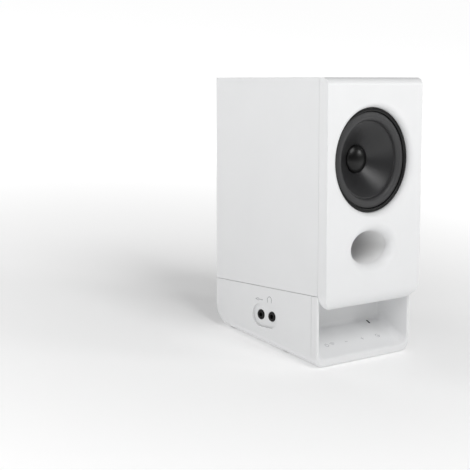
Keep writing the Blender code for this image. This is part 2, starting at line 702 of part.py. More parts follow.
# ---- base -------------------------------------------------------------------------------------
def base_stations(low, high):
    """Depths at which the base is sectioned, closer together round its rounded ends."""
    depths = [low]
    for i in range(ARC_STEPS + 1):
        a = math.pi / 2 * i / ARC_STEPS
        depths.append(BASE_SETBACK + LIP_RADIUS * (1 - math.cos(a)))
        depths.append(CABINET_DEPTH - BASE_REAR_RADIUS * (1 - math.cos(a)))
    depths.append(high)
    return sorted({round(y, 6) for y in depths if low <= y <= high})


def base_housing(frame, plastic):
    front = FRAME_BACK + GAP / 2
    rings = [tub_ring(y, HALF_WIDTH, base_bottom(y), BASE_CORNER_RADIUS, BASE_TOP)
             for y in base_stations(front, CABINET_DEPTH)]
    housing = make_object("base_housing", skin(rings), plastic, frame)
    hollow_back = CABINET_DEPTH - HOUSING_FLOOR
    hollow = [tub_ring(y, WALL_INSIDE, base_bottom(y) + HOUSING_FLOOR,
                       BASE_CORNER_RADIUS - HOUSING_WALL, BASE_TOP + 0.002)
              for y in [front - 0.002] + base_stations(front, hollow_back)[1:]]
    combine(housing, cutter("housing_hollow", skin(hollow), frame), "DIFFERENCE")
    add_screw_posts(housing, frame)
    add_board_posts(housing, frame)
    cut_side_and_back(housing, frame)


def add_screw_posts(housing, frame):
    for i, (x, y) in enumerate(BASE_SCREWS):
        floor = underside(y)
        place = (x, y, 0)
        post = rod(SCREW_HEAD + 0.0020, -BASE_TOP, -floor - HOUSING_FLOOR / 2)
        combine(housing, cutter(f"screw_post_{i}", post, frame, place, upright_down()), "UNION")
        access = rod(SCREW_HEAD + 0.0006, -SCREW_SEAT, -floor + 0.004)
        combine(housing, cutter(f"screw_access_{i}", access, frame, place, upright_down()),
                "DIFFERENCE")
        hole = rod(SCREW_SHANK + GAP, -BASE_TOP - 0.002, -SCREW_SEAT + 0.001)
        combine(housing, cutter(f"screw_hole_{i}", hole, frame, place, upright_down()),
                "DIFFERENCE")


def upright_down():
    """Turns a bar that runs along +y so that it runs along -z."""
    return (-math.pi / 2, 0, 0)


def board_post_places():
    reach = BOARD_WIDTH / 2 - 0.0045
    return [(side * reach, y) for side in (-1, 1) for y in (BOARD_FRONT + 0.005, BOARD_BACK - 0.006)]


def add_board_posts(housing, frame):
    for i, (x, y) in enumerate(board_post_places()):
        top = BOARD_TOP - BOARD_THICKNESS - GAP
        post = rod(0.0025, -top, -underside(y) - HOUSING_FLOOR / 2, 10)
        combine(housing, cutter(f"board_post_{i}", post, frame, (x, y, 0), upright_down()), "UNION")


def jack_outline(grow):
    """Stadium outline (y, z) round the two side sockets, grown by this much."""
    length = JACK_RECESS_LENGTH + 2 * grow
    height = JACK_RECESS_HEIGHT + 2 * grow
    return rectangle(length, height, height / 2 - 0.0001, (JACK_DEPTH_FROM_FACE, JACK_Z))


def cut_side_and_back(housing, frame):
    window = plate_across(jack_outline(0.0), -HALF_WIDTH - 0.002, -WALL_INSIDE + 0.002)
    combine(housing, cutter("jack_window", window, frame), "DIFFERENCE")
    opening = rectangle(CONNECTOR_PLATE_WIDTH + 2 * GAP, CONNECTOR_PLATE_HEIGHT + 2 * GAP, 0.002,
                        (0.0, SOCKET_Z))
    through = plate_along(opening, CABINET_DEPTH - HOUSING_FLOOR - 0.003, CABINET_DEPTH + 0.002)
    combine(housing, cutter("connector_window", through, frame), "DIFFERENCE")


def niche_stations(low, high):
    return [low, FRAME_BACK, high]


def niche_half_width(y):
    """The niche narrows a little behind its front frame."""
    front = HALF_WIDTH - NICHE_RIM
    back = WALL_INSIDE - GAP - TRAY_WALL
    share = (y - BASE_SETBACK) / FRAME_DEPTH
    return front + (back - front) * min(1.0, share)


def phone_tray(frame, plastic):
    """Front frame of the base with the sloping niche behind it, in one moulding."""
    front_frame = [tub_ring(y, HALF_WIDTH, base_bottom(y), BASE_CORNER_RADIUS, BASE_TOP)
                   for y in base_stations(BASE_SETBACK, FRAME_BACK - GAP / 2)]
    tray = make_object("phone_tray", skin(front_frame), plastic, frame)
    outside = WALL_INSIDE - GAP
    shell = [tub_ring(y, outside, niche_floor(y) - TRAY_FLOOR, NICHE_CORNER_RADIUS + TRAY_WALL,
                      BASE_TOP - 0.0002)
             for y in (BASE_SETBACK + FRAME_DEPTH / 2, NICHE_BACK + TRAY_FLOOR)]
    combine(tray, cutter("tray_shell", skin(shell), frame), "UNION")
    space = [tub_ring(y, niche_half_width(y), niche_floor(y), NICHE_CORNER_RADIUS, BASE_TOP + 0.002)
             for y in niche_stations(BASE_SETBACK - 0.002, NICHE_BACK)]
    combine(tray, cutter("niche_space", skin(space), frame), "DIFFERENCE")
    x, y, z = light_place()
    slot = light_outline(GAP)
    helper = cutter("light_slot", plate_up(slot, -0.006, 0.004), frame, (x, y, z), (NICHE_SLOPE, 0, 0))
    combine(tray, helper, "DIFFERENCE")


def light_place():
    y = NICHE_BACK - 0.0031
    return 0.0332, y, niche_floor(y)


def light_outline(grow):
    return rectangle(0.0016 + 2 * grow, 0.0044 + 2 * grow, 0.0007 + grow)


def status_light(frame, clear):
    """Light pipe that ends flush with the floor of the niche."""
    pipe = plate_up(light_outline(0.0), -0.0042, -0.0001)
    make_object("status_light", pipe, clear, frame, light_place(), (NICHE_SLOPE, 0, 0))


def touch_board(frame, board):
    """Sensor board clipped under the floor of the niche, below the touch symbols."""
    y = BASE_SETBACK + 0.0125
    drop = TRAY_FLOOR + 0.0006
    outline = rectangle(0.0760, 0.0110, 0.0010)
    make_object("touch_board", plate_up(outline, -0.0010, 0.0), board, frame,
                (0, y, niche_floor(y) - drop), (NICHE_SLOPE, 0, 0))


def jack_bezel(frame, plastic):
    """Oval plate behind the window in the side wall, with a hole for each socket."""
    face = -WALL_INSIDE + GAP
    plate = make_object("jack_bezel", plate_across(jack_outline(0.0022), face,
                                                   face + BEZEL_THICKNESS), plastic, frame)
    for i, y in enumerate(jack_places()):
        hole = rod(JACK_RADIUS + GAP, -0.004, 0.004, 20)
        helper = cutter(f"jack_hole_{i}", hole, frame, (face, y, JACK_Z), (0, 0, math.pi / 2))
        combine(plate, helper, "DIFFERENCE")


def jack_places():
    return (JACK_DEPTH_FROM_FACE + JACK_PITCH / 2, JACK_DEPTH_FROM_FACE - JACK_PITCH / 2)


def jack_socket(name, y, frame, plastic):
    """3.5 mm socket: round nose, square body, bore along its axis."""
    length = JACK_LENGTH
    nose = 0.0030
    body = make_object(name, rod(JACK_RADIUS, 0.0, length, 20), plastic, frame,
                       (-WALL_INSIDE - GAP, y, JACK_Z), (0, 0, -math.pi / 2))
    half = JACK_RADIUS + 0.0008
    square = block((-half, nose, -half), (half, length - 0.0010, half))
    combine(body, cutter(f"{name}_body", square, body), "UNION")
    combine(body, cutter(f"{name}_bore", rod(JACK_BORE, -0.001, length - 0.003), body),
            "DIFFERENCE")


def jack_board(frame, board):
    """Upright board that carries both side sockets."""
    x = JACK_LENGTH - WALL_INSIDE
    low = (x, JACK_DEPTH_FROM_FACE - 0.0140, JACK_Z - 0.0015)
    high = (x + 0.0012, JACK_DEPTH_FROM_FACE + 0.0140, JACK_Z + 0.0130)
    make_object("jack_board", block(low, high), board, frame)


def base_screws(frame, metal):
    for i, (x, y) in enumerate(BASE_SCREWS):
        screw(f"base_screw_{i + 1}", 0.0095, frame, (x, y, SCREW_SEAT - GAP), (math.pi / 2, 0, 0),
              metal)


def rubber_feet(floor, rubber):
    """Pads under the corners of the base, standing just proud of it."""
    front = base_front_y() + 0.0150
    back = base_front_y() + (CABINET_DEPTH - BASE_SETBACK) / math.cos(LEAN) - 0.0200
    number = 0
    for side in (-1, 1):
        for y in (front, back):
            number += 1
            profile = [(FOOT_RADIUS - 0.0003, 0.0), (FOOT_RADIUS, 0.0002),
                       (FOOT_RADIUS, FOOT_HEIGHT - GAP / 3)]
            make_object(f"rubber_foot_{number}", turned_solid(profile, 24), rubber, floor,
                        (side * (HALF_WIDTH - 0.0200), y, 0), (math.pi / 2, 0, 0))


# ---- electronics ------------------------------------------------------------------------------
def amplifier_board(frame, board):
    outline = rectangle(BOARD_WIDTH, BOARD_BACK - BOARD_FRONT, 0.002,
                        (0.0, (BOARD_FRONT + BOARD_BACK) / 2))
    make_object("amplifier_board", plate_up(outline, BOARD_TOP - BOARD_THICKNESS, BOARD_TOP), board,
                frame)


def board_place(across, along):
    """Point on top of the board, from shares of its width (0 is its middle) and its length."""
    return across * BOARD_WIDTH, BOARD_FRONT + along * BOARD_LENGTH, BOARD_TOP + GAP


def heat_sink(frame, metal):
    """Comb of fins on a flat foot, on top of the amplifier chip."""
    width = 0.36 * BOARD_WIDTH
    fins = 6
    foot = 0.0020
    height = 0.0120
    fin = 0.0012
    pitch = (width - fin) / (fins - 1)
    outline = [(0.0, 0.0), (width, 0.0)]
    for i in reversed(range(fins)):
        left = i * pitch
        outline += [(left + fin, height), (left, height)]
        if i:
            outline += [(left, foot), (left - pitch + fin, foot)]
    bm = plate_along(outline, 0.0, 0.32 * BOARD_LENGTH)
    make_object("heat_sink", bm, metal, frame, board_place(-0.44, 0.22))


def filter_capacitor(number, frame, across, along, material):
    """Upright can with rounded rims, standing on the board."""
    radius = 0.0040
    height = 0.0130
    edge = 0.0005
    profile = [(radius - edge, 0.0), (radius, edge), (radius, height - edge),
               (radius - edge, height)]
    make_object(f"filter_capacitor_{number}", turned_solid(profile, 16), material, frame,
                board_place(across, along), (math.pi / 2, 0, 0))


def output_coil(number, frame, across, along, copper):
    """Ring-wound choke lying on the board."""
    steps = 8
    profile = []
    for i in range(steps):
        a = 2 * math.pi * i / steps
        profile.append((0.0033 + 0.0015 * math.cos(a), -0.0021 * (1 + math.sin(a))))
    make_object(f"output_coil_{number}", turned(profile, 16), copper, frame,
                board_place(across, along), (-math.pi / 2, 0, 0))


def wireless_module(frame, metal):
    outline = rectangle(0.0140, 0.0170, 0.0008)
    make_object("wireless_module", plate_up(outline, 0.0, 0.0024), metal, frame,
                board_place(0.34, 0.19))


def connector_plate(frame, plastic):
    """Rear plate of the base with an opening for each connector."""
    front = CABINET_DEPTH - CONNECTOR_PLATE_THICKNESS
    outline = rectangle(CONNECTOR_PLATE_WIDTH, CONNECTOR_PLATE_HEIGHT, 0.0018, (0.0, SOCKET_Z))
    plate = make_object("connector_plate", plate_along(outline, front, CABINET_DEPTH), plastic,
                        frame)
    for x, name, radius in ((INLET_X, "inlet", INLET_RADIUS), (LINK_X, "link", LINK_SOCKET_RADIUS)):
        hole = rod(radius + GAP, front - 0.001, CABINET_DEPTH + 0.001, 24)
        combine(plate, cutter(f"{name}_hole", hole, frame, (x, 0, SOCKET_Z)), "DIFFERENCE")
    slot = rectangle(USB_WIDTH + 2 * GAP, USB_HEIGHT + 2 * GAP, USB_HEIGHT / 2, (USB_X, SOCKET_Z))
    through = plate_along(slot, front - 0.001, CABINET_DEPTH + 0.001)
    combine(plate, cutter("usb_hole", through, frame), "DIFFERENCE")


def round_socket(name, radius, bore, x, frame, plastic):
    """Round rear socket with a square body behind the plate and an open bore."""
    front = CABINET_DEPTH - CONNECTOR_PLATE_THICKNESS - GAP
    length = 0.0120
    place = (x, front - length, SOCKET_Z)
    socket = make_object(name, rod(radius, 0.002, length + 0.0020 + GAP, 24), plastic, frame, place)
    half = radius + 0.0008
    body = block((-half, 0.0, -half), (half, length, half))
    combine(socket, cutter(f"{name}_body", body, socket), "UNION")
    combine(socket, cutter(f"{name}_bore", rod(bore, 0.0035, length + 0.005, 20), socket),
            "DIFFERENCE")
    return socket


def power_inlet(frame, plastic):
    """Round inlet for a low-voltage plug, with its centre pin."""
    socket = round_socket("power_inlet", INLET_RADIUS, INLET_RADIUS - 0.0022, INLET_X, frame,
                          plastic)
    pin = rod(0.0010, 0.0030, 0.0120, 12)
    combine(socket, cutter("inlet_pin", pin, socket), "UNION")


def link_socket(frame, plastic):
    """Round socket for the lead to the second speaker."""
    round_socket("link_socket", LINK_SOCKET_RADIUS, LINK_SOCKET_RADIUS - 0.0011, LINK_X, frame,
                 plastic)


def usb_socket(frame, metal):
    """Flat shell with a tongue inside."""
    front = CABINET_DEPTH - 0.0095
    back = CABINET_DEPTH - 0.0004
    outline = rectangle(USB_WIDTH, USB_HEIGHT, USB_HEIGHT / 2 - 0.0001, (USB_X, SOCKET_Z))
    socket = make_object("usb_socket", plate_along(outline, front, back), metal, frame)
    hollow = rectangle(USB_WIDTH - 0.0006, USB_HEIGHT - 0.0006, USB_HEIGHT / 2 - 0.0004,
                       (USB_X, SOCKET_Z))
    combine(socket, cutter("usb_hollow", plate_along(hollow, front + 0.002, back + 0.001), frame),
            "DIFFERENCE")
    tongue = rectangle(0.0060, 0.0007, 0.0, (USB_X, SOCKET_Z))
    combine(socket, cutter("usb_tongue", plate_along(tongue, front + 0.001, back - 0.0012), frame),
            "UNION")


def wire_grommet(frame, rubber):
    """Rubber ring that seals the hole where the leads enter the cabinet."""
    outer = GROMMET_RADIUS - GAP
    lip = GROMMET_RADIUS + 0.0018
    bore = 2 * LEAD_RADIUS + 0.0014
    wall = SLEEVE_WALL + GAP
    profile = [(bore, -0.0012), (lip, -0.0012), (lip, -GAP), (outer, -GAP), (outer, wall),
               (bore, wall)]
    place = (*GROMMET_PLACE, -CABINET_HEIGHT + SLEEVE_WALL)
    make_object("wire_grommet", turned(profile, 20), rubber, frame, place, upright_down())


def lead_route(side):
    """Centre line of one driver lead: solder tag, down the cabinet, grommet, circuit board."""
    tag_x = MAGNET_RADIUS + 0.0060
    tag_y = BASKET_PLATE_FRONT + 0.0043
    tag_z = DRIVER_Z + side * 0.0050
    apart = side * 0.0015
    x, y = GROMMET_PLACE
    low = y - 0.020 + apart
    return [(tag_x, tag_y, tag_z), (tag_x + 0.001, tag_y + 0.0035 + apart, tag_z - 0.003),
            (tag_x + 0.002, tag_y + 0.010 + apart, DRIVER_Z - 0.022),
            (tag_x, low, PORT_Z), (x + 0.002, low + 0.013, PORT_Z - 0.014),
            (x, y + apart, -CABINET_HEIGHT + 0.007), (x, y + apart, -CABINET_HEIGHT - 0.010),
            (x, y + apart, BOARD_TOP + LEAD_RADIUS)]


def smooth_path(points, spacing):
    """Even points along a Catmull-Rom curve through the route."""
    ends = [points[0]] + points + [points[-1]]
    knots = [Vector(point) for point in ends]
    path = []
    for a, b, c, d in zip(knots, knots[1:], knots[2:], knots[3:]):
        steps = max(1, round((c - b).length / spacing))
        for i in range(steps):
            t = i / steps
            path.append(0.5 * (2 * b + (c - a) * t + (2 * a - 5 * b + 4 * c - d) * t * t
                               + (3 * b - a - 3 * c + d) * t ** 3))
    path.append(knots[-1])
    return path


def driver_lead(name, side, frame, sleeve):
    path = smooth_path(lead_route(side), 0.0045)
    curve = bpy.data.curves.new(name, "CURVE")
    curve.dimensions = "3D"
    curve.bevel_depth = LEAD_RADIUS
    curve.bevel_resolution = 1
    curve.use_fill_caps = True
    spline = curve.splines.new("POLY")
    spline.points.add(len(path) - 1)
    for point, place in zip(spline.points, path):
        point.co = (*place, 1.0)
    curve.materials.append(sleeve)
    lead = bpy.data.objects.new(name, curve)
    bpy.context.scene.collection.objects.link(lead)
    lead.parent = frame


# ---- placing ----------------------------------------------------------------------------------
def base_front_y():
    """Where the front of the underside would be, in the leaning frame turned level."""
    return BASE_SETBACK * math.cos(LEAN) + BASE_FRONT_BOTTOM * math.sin(LEAN) + level_shift()


def level_shift():
    """Moves the model so that the middle of its depth is at y = 0."""
    lip_y = BASE_SETBACK + LIP_RADIUS
    lip = lip_y * math.cos(LEAN) + (underside(lip_y) + LIP_RADIUS) * math.sin(LEAN) - LIP_RADIUS
    chin_z = -CABINET_HEIGHT - BAFFLE_DROP + CHIN_RADIUS
    chin = CHIN_RADIUS * (math.cos(LEAN) - 1) + chin_z * math.sin(LEAN)
    return -(min(lip, chin) + CABINET_DEPTH * math.cos(LEAN)) / 2


def level_height():
    return (FOOT_HEIGHT + BASE_SETBACK * math.sin(LEAN) - BASE_FRONT_BOTTOM * math.cos(LEAN))


def build():
    clear_scene()
    white = finish("satin white paint", (0.82, 0.83, 0.84), 0.38)
    white_plastic = finish("white moulded plastic", (0.80, 0.81, 0.82), 0.34)
    black_plastic = finish("black moulded plastic", (0.012, 0.012, 0.013), 0.35)
    black_rubber = finish("black rubber", (0.020, 0.020, 0.021), 0.55)
    coated_paper = finish("coated paper", (0.030, 0.030, 0.032), 0.62)
    glossy_black = finish("glossy black", (0.010, 0.010, 0.011), 0.22)
    steel = finish("plated steel", (0.45, 0.46, 0.47), 0.35, 1.0)
    black_steel = finish("black pressed steel", (0.030, 0.030, 0.032), 0.45, 0.6)
    ferrite = finish("ferrite", (0.045, 0.045, 0.047), 0.60)
    copper = finish("copper wire", (0.55, 0.22, 0.10), 0.30, 1.0)
    cloth = finish("treated cloth", (0.42, 0.26, 0.09), 0.85)
    circuit_board = finish("circuit board", (0.02, 0.11, 0.05), 0.45)
    aluminium = finish("aluminium", (0.60, 0.61, 0.62), 0.40, 1.0)
    foam = finish("grey foam", (0.06, 0.06, 0.065), 0.95)
    clear = finish("smoked light pipe", (0.05, 0.05, 0.055), 0.15)

    frame = empty("leaning_frame", None, (0, level_shift(), level_height()), -LEAN)
    driver_axis = empty("driver_axis", frame, (0, 0, DRIVER_Z))
    moving = empty("cone_slide", driver_axis)
    floor = empty("floor_level")

    cabinet_sleeve(frame, white)
    front_baffle(frame, driver_axis, white)
    driver_screw_pilots(bpy.data.objects["front_baffle"], driver_axis)
    port_tube(frame, white_plastic)
    back_panel(frame, white)
    damping_pad(frame, foam)
    for number, (x, z) in enumerate(back_screw_places(), 1):
        screw(f"panel_screw_{number}", 0.0130, frame, (x, CABINET_DEPTH - 0.0020 + GAP, z),
              (0, 0, math.pi), black_steel)

    driver_trim_ring(driver_axis, black_plastic)
    driver_gasket(driver_axis, foam)
    gasket_holes(bpy.data.objects["driver_gasket"], driver_axis)
    driver_basket(driver_axis, black_steel)
    driver_screws(driver_axis, black_steel)
    cone_surround(driver_axis, black_rubber)
    cone(moving, coated_paper)
    dust_cap(moving, glossy_black)
    coil_former(moving, aluminium)
    voice_coil(moving, copper)
    spider(driver_axis, cloth)
    top_plate(driver_axis, steel)
    ring_magnet(driver_axis, ferrite)
    pole_yoke(driver_axis, steel)
    terminal_strip(driver_axis, circuit_board)

    base_housing(frame, white_plastic)
    phone_tray(frame, white_plastic)
    status_light(frame, clear)
    touch_board(frame, circuit_board)
    jack_bezel(frame, white_plastic)
    rear_jack, front_jack = jack_places()
    jack_socket("line_in_socket", rear_jack, frame, black_plastic)
    jack_socket("headphone_socket", front_jack, frame, black_plastic)
    jack_board(frame, circuit_board)
    base_screws(frame, black_steel)
    rubber_feet(floor, black_rubber)

    amplifier_board(frame, circuit_board)
    heat_sink(frame, aluminium)
    filter_capacitor(1, frame, 0.16, 0.69, glossy_black)
    filter_capacitor(2, frame, -0.06, 0.69, glossy_black)
    output_coil(1, frame, 0.06, 0.19, copper)
    output_coil(2, frame, 0.06, 0.43, copper)
    wireless_module(frame, steel)
    connector_plate(frame, black_plastic)
    power_inlet(frame, black_plastic)
    link_socket(frame, black_plastic)
    usb_socket(frame, steel)
    wire_grommet(frame, black_rubber)
    driver_lead("driver_lead_red", 1, frame, finish("red sleeve", (0.35, 0.02, 0.02), 0.5))
    driver_lead("driver_lead_black", -1, frame, black_rubber)


build()
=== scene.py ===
"""Looks of the leaning desktop speaker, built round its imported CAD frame.

Each section makes one piece, or one group of like pieces, in the order a maker would put the
speaker together. Pieces are shaped in the cabinet's own frame, x across, y back from the face of
the baffle and z down from the top, and are then leaned back onto the floor with the cabinet.
"""

import math

import bmesh
import bpy
from mathutils import Matrix, Vector


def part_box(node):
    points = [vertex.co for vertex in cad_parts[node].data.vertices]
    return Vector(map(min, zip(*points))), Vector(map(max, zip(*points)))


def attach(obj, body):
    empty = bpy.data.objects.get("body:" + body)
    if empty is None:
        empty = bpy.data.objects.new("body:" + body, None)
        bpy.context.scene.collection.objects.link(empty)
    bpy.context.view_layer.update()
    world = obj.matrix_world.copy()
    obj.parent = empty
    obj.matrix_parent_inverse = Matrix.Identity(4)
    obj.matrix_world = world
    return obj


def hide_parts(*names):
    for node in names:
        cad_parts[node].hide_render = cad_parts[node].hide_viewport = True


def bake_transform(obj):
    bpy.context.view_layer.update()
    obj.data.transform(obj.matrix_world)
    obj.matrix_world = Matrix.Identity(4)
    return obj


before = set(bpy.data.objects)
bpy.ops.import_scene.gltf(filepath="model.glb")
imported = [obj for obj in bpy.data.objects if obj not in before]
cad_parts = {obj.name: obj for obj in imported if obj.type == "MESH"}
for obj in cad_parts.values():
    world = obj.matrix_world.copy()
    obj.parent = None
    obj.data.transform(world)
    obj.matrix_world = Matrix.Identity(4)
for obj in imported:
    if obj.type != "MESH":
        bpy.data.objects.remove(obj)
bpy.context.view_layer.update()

# ---- The leaning cabinet ----
# The cabinet leans back on its wedge-shaped base. Its lean and its main sizes place every piece.
LEAN = math.radians(8.15)
WIDTH = 0.1000
DEPTH = 0.1250
HEIGHT = 0.1583
SLEEVE_FRONT = 0.0090
high_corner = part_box("cabinet_sleeve")[1]
SHIFT = Vector((0.0, high_corner.y - DEPTH * math.cos(LEAN),
                high_corner.z + SLEEVE_FRONT * math.sin(LEAN)))
leaned = Matrix.Translation(SHIFT) @ Matrix.Rotation(-LEAN, 4, "X")


# ---- Camera ----
# A medium telephoto lens, left of the speaker and a little above it, held square to the cabinet.
CAMERA_PLACE = Vector((-0.6504, -0.6138, -0.0028))
CAMERA_TURN = math.radians(39.98)
CAMERA_DIP = math.radians(7.27)


def placed(name, data=None):
    """A new object in the scene."""
    obj = bpy.data.objects.new(name, data)
    bpy.context.scene.collection.objects.link(obj)
    return obj


camera = placed("camera", bpy.data.cameras.new("camera"))
camera.data.lens = 92.33
camera.data.sensor_width = 36.0
camera.data.clip_start = 0.01
aim = Matrix.Rotation(-CAMERA_TURN, 4, "Z") @ Matrix.Rotation(math.pi / 2 - CAMERA_DIP, 4, "X")
camera.matrix_world = leaned @ Matrix.Translation(CAMERA_PLACE) @ aim
bpy.context.scene.camera = camera


# ---- Studio ----
# A seamless pale floor that glows by itself, a painted light that is dim near the speaker and
# bright farther out, a dim room, a large key softbox high in front and weaker ones on the right,
# the left and behind.
bpy.context.scene.view_settings.view_transform = "Standard"
world = bpy.data.worlds.new("dim room")
bpy.context.scene.world = world
world.use_nodes = True
background = world.node_tree.nodes["Background"]
background.inputs["Color"].default_value = (1.0, 1.0, 1.0, 1.0)
background.inputs["Strength"].default_value = 0.17

FLOOR_SIDE = 60.0
MIDDLE = Vector((0, 0, 0.11))
bm = bmesh.new()
bmesh.ops.create_grid(bm, x_segments=1, y_segments=1, size=FLOOR_SIDE / 2)
floor_mesh = bpy.data.meshes.new("floor")
bm.to_mesh(floor_mesh)
bm.free()
floor = placed("floor", floor_mesh)
floor_paint_and_glow = bpy.data.materials.new("floor paint")
floor_paint_and_glow.use_nodes = True
floor_shader = floor_paint_and_glow.node_tree.nodes["Principled BSDF"]
floor_shader.inputs["Base Color"].default_value = (0.93, 0.93, 0.93, 1.0)
floor_shader.inputs["Roughness"].default_value = 0.9
floor_shader.inputs["Specular IOR Level"].default_value = 0.1
# Painted glow: the floor's emission grows with distance from the speaker, dim near it and bright
# far out.
floor_shader.inputs["Emission Color"].default_value = (1.0, 1.0, 1.0, 1.0)
floor_nodes = floor_paint_and_glow.node_tree.nodes
floor_links = floor_paint_and_glow.node_tree.links
floor_place = floor_nodes.new("ShaderNodeTexCoord")
floor_reach = floor_nodes.new("ShaderNodeVectorMath")
floor_reach.operation = "LENGTH"
floor_glow = floor_nodes.new("ShaderNodeMapRange")
floor_glow.inputs["From Min"].default_value = 0.12
floor_glow.inputs["From Max"].default_value = 0.85
floor_glow.inputs["To Min"].default_value = 0.19
floor_glow.inputs["To Max"].default_value = 0.82
floor_links.new(floor_place.outputs["Object"], floor_reach.inputs[0])
floor_links.new(floor_reach.outputs["Value"], floor_glow.inputs["Value"])
floor_links.new(floor_glow.outputs["Result"], floor_shader.inputs["Emission Strength"])
floor_mesh.materials.append(floor_paint_and_glow)


def softbox(name, place, size, power):
    """Square area light aimed at the middle of the speaker."""
    light = bpy.data.lights.new(name, "AREA")
    light.shape = "SQUARE"
    light.size = size
    light.energy = power
    lamp = placed(name, light)
    lamp.location = place
    lamp.rotation_euler = (MIDDLE - Vector(place)).to_track_quat("-Z", "Y").to_euler()


softbox("key softbox", (-0.05, -1.05, 1.55), 0.90, 12.0)
softbox("right softbox", (1.10, -1.00, 0.75), 0.32, 3.0)
softbox("left softbox", (-1.40, -0.60, 0.75), 1.60, 6.2)
softbox("rear softbox", (-1.20, 1.00, 1.10), 0.80, 3.2)


# ---- Cabinet sleeve ----
# Four boards of fibreboard glued into a sleeve, sanded at the edges and sprayed satin white.
# The paint shows a very fine orange peel and small changes in gloss.
WHITE = (0.895, 0.90, 0.905)
EDGE_SANDING = 0.0004


def finish(name, colour, roughness, metallic=0.0, grain=900.0, height=0.000004, mottle=0.02,
           gloss_change=0.05, specular=0.5):
    """A satin or matt surface: fine bump from noise, with patches of slightly other gloss."""
    material = bpy.data.materials.new(name)
    material.use_nodes = True
    tree = material.node_tree
    shader = tree.nodes["Principled BSDF"]
    shader.inputs["Metallic"].default_value = metallic
    shader.inputs["Specular IOR Level"].default_value = specular
    place = tree.nodes.new("ShaderNodeTexCoord")
    fine = tree.nodes.new("ShaderNodeTexNoise")
    fine.inputs["Scale"].default_value = grain
    fine.inputs["Detail"].default_value = 3.0
    bump = tree.nodes.new("ShaderNodeBump")
    bump.inputs["Distance"].default_value = height
    tree.links.new(place.outputs["Object"], fine.inputs["Vector"])
    tree.links.new(fine.outputs["Fac"], bump.inputs["Height"])
    tree.links.new(bump.outputs["Normal"], shader.inputs["Normal"])
    broad = tree.nodes.new("ShaderNodeTexNoise")
    broad.inputs["Scale"].default_value = grain / 30
    broad.inputs["Detail"].default_value = 4.0
    tree.links.new(place.outputs["Object"], broad.inputs["Vector"])
    gloss = tree.nodes.new("ShaderNodeMapRange")
    gloss.inputs["To Min"].default_value = roughness - gloss_change
    gloss.inputs["To Max"].default_value = roughness + gloss_change
    tree.links.new(broad.outputs["Fac"], gloss.inputs["Value"])
    tree.links.new(gloss.outputs["Result"], shader.inputs["Roughness"])
    tint = tree.nodes.new("ShaderNodeMix")
    tint.data_type = "RGBA"
    tint.inputs["A"].default_value = (*[c * (1 - mottle) for c in colour], 1.0)
    tint.inputs["B"].default_value = (*[min(1.0, c * (1 + mottle)) for c in colour], 1.0)
    tree.links.new(broad.outputs["Fac"], tint.inputs["Factor"])
    tree.links.new(tint.outputs["Result"], shader.inputs["Base Color"])
    material.diffuse_color = (*colour, 1.0)
    return material


def applied(obj):
    """The object's mesh with its modifiers made plain."""
    depsgraph = bpy.context.evaluated_depsgraph_get()
    mesh = bpy.data.meshes.new_from_object(obj.evaluated_get(depsgraph))
    obj.modifiers.clear()
    obj.data = mesh
    return mesh


def smoothed(mesh, sharp):
    """Smooth shading, with the edges over this angle in degrees left sharp."""
    mesh.shade_smooth()
    mesh.set_sharp_from_angle(angle=math.radians(sharp))


def settle(obj, material, body="cabinet", replaces=()):
    """Apply the modifiers, smooth the round parts, paint the piece and let it ride on a body."""
    mesh = applied(obj)
    mesh.name = obj.name
    mesh.materials.clear()
    mesh.materials.append(material)
    for polygon in mesh.polygons:
        polygon.material_index = 0
    smoothed(mesh, 32)
    even = obj.modifiers.new("Even normals", "WEIGHTED_NORMAL")
    even.keep_sharp = True
    even.weight = 80
    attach(obj, body)
    if replaces:
        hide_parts(*replaces)
    return obj


def rounding(obj, radius, segments, above):
    """Round the edges that turn by more than this many degrees."""
    edge = obj.modifiers.new("Rounded edges", "BEVEL")
    edge.width = radius
    edge.segments = segments
    edge.limit_method = "ANGLE"
    edge.angle_limit = math.radians(above)


def eased(node, radius, material):
    """A copy of a CAD piece whose sharp edges are rounded a little, as real ones are."""
    bm = bmesh.new()
    bm.from_mesh(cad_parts[node].data)
    bmesh.ops.remove_doubles(bm, verts=bm.verts, dist=0.000002)
    bmesh.ops.join_triangles(bm, faces=bm.faces, angle_face_threshold=math.radians(0.5),
                             angle_shape_threshold=math.radians(180))
    mesh = bpy.data.meshes.new(node + "_eased")
    bm.to_mesh(mesh)
    bm.free()
    obj = placed(mesh.name, mesh)
    rounding(obj, radius, 2, 34)
    return settle(obj, material, replaces=(node,))


satin_paint = finish("satin white paint", WHITE, 0.42, grain=1100.0)
eased("cabinet_sleeve", EDGE_SANDING, satin_paint)


# ---- Back panel and damping ----
# A painted board let into the back of the sleeve, with a foam pad glued to its inside.
eased("back_panel", 0.0003, satin_paint)
foam = finish("grey foam", (0.07, 0.07, 0.075), 0.95, grain=1600.0, height=0.0002, mottle=0.35)


def repaint(material, *nodes):
    """Give CAD pieces that keep their own shape a finish."""
    for node in nodes:
        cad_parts[node].data.materials[0] = material


repaint(foam, "damping_pad")


# ---- Front baffle ----
# A thick moulded plate with a rounded top edge. Its lower end curls under as a chin on three
# sides, and a rolled dish and an oval trumpet lead into the driver and the port.
BAFFLE_DEPTH = 0.0087
TOP_RADIUS = 0.0060
CHIN_DROP = 0.0112
CHIN_RADIUS = 0.0118
CHIN_SIDE_RADIUS = 0.0140
DRIVER_DROP = 0.3834 * HEIGHT
PORT_DROP = 0.796 * HEIGHT
RING_RADIUS = 0.2451 * HEIGHT
RING_SETBACK = 0.0051
DISH_ROLL = 0.0062
PORT_HALF_WIDTH = 0.203 * WIDTH
PORT_HALF_HEIGHT = 0.0783 * HEIGHT
PORT_FLARE = 0.0518 * HEIGHT
GAP = 0.0003
HALF = WIDTH / 2
CHIN_BOTTOM = -HEIGHT - CHIN_DROP
ROUND = 144
ARC = 14

white_plastic = finish("white moulded plastic", WHITE, 0.40, grain=1500.0, height=0.000003)


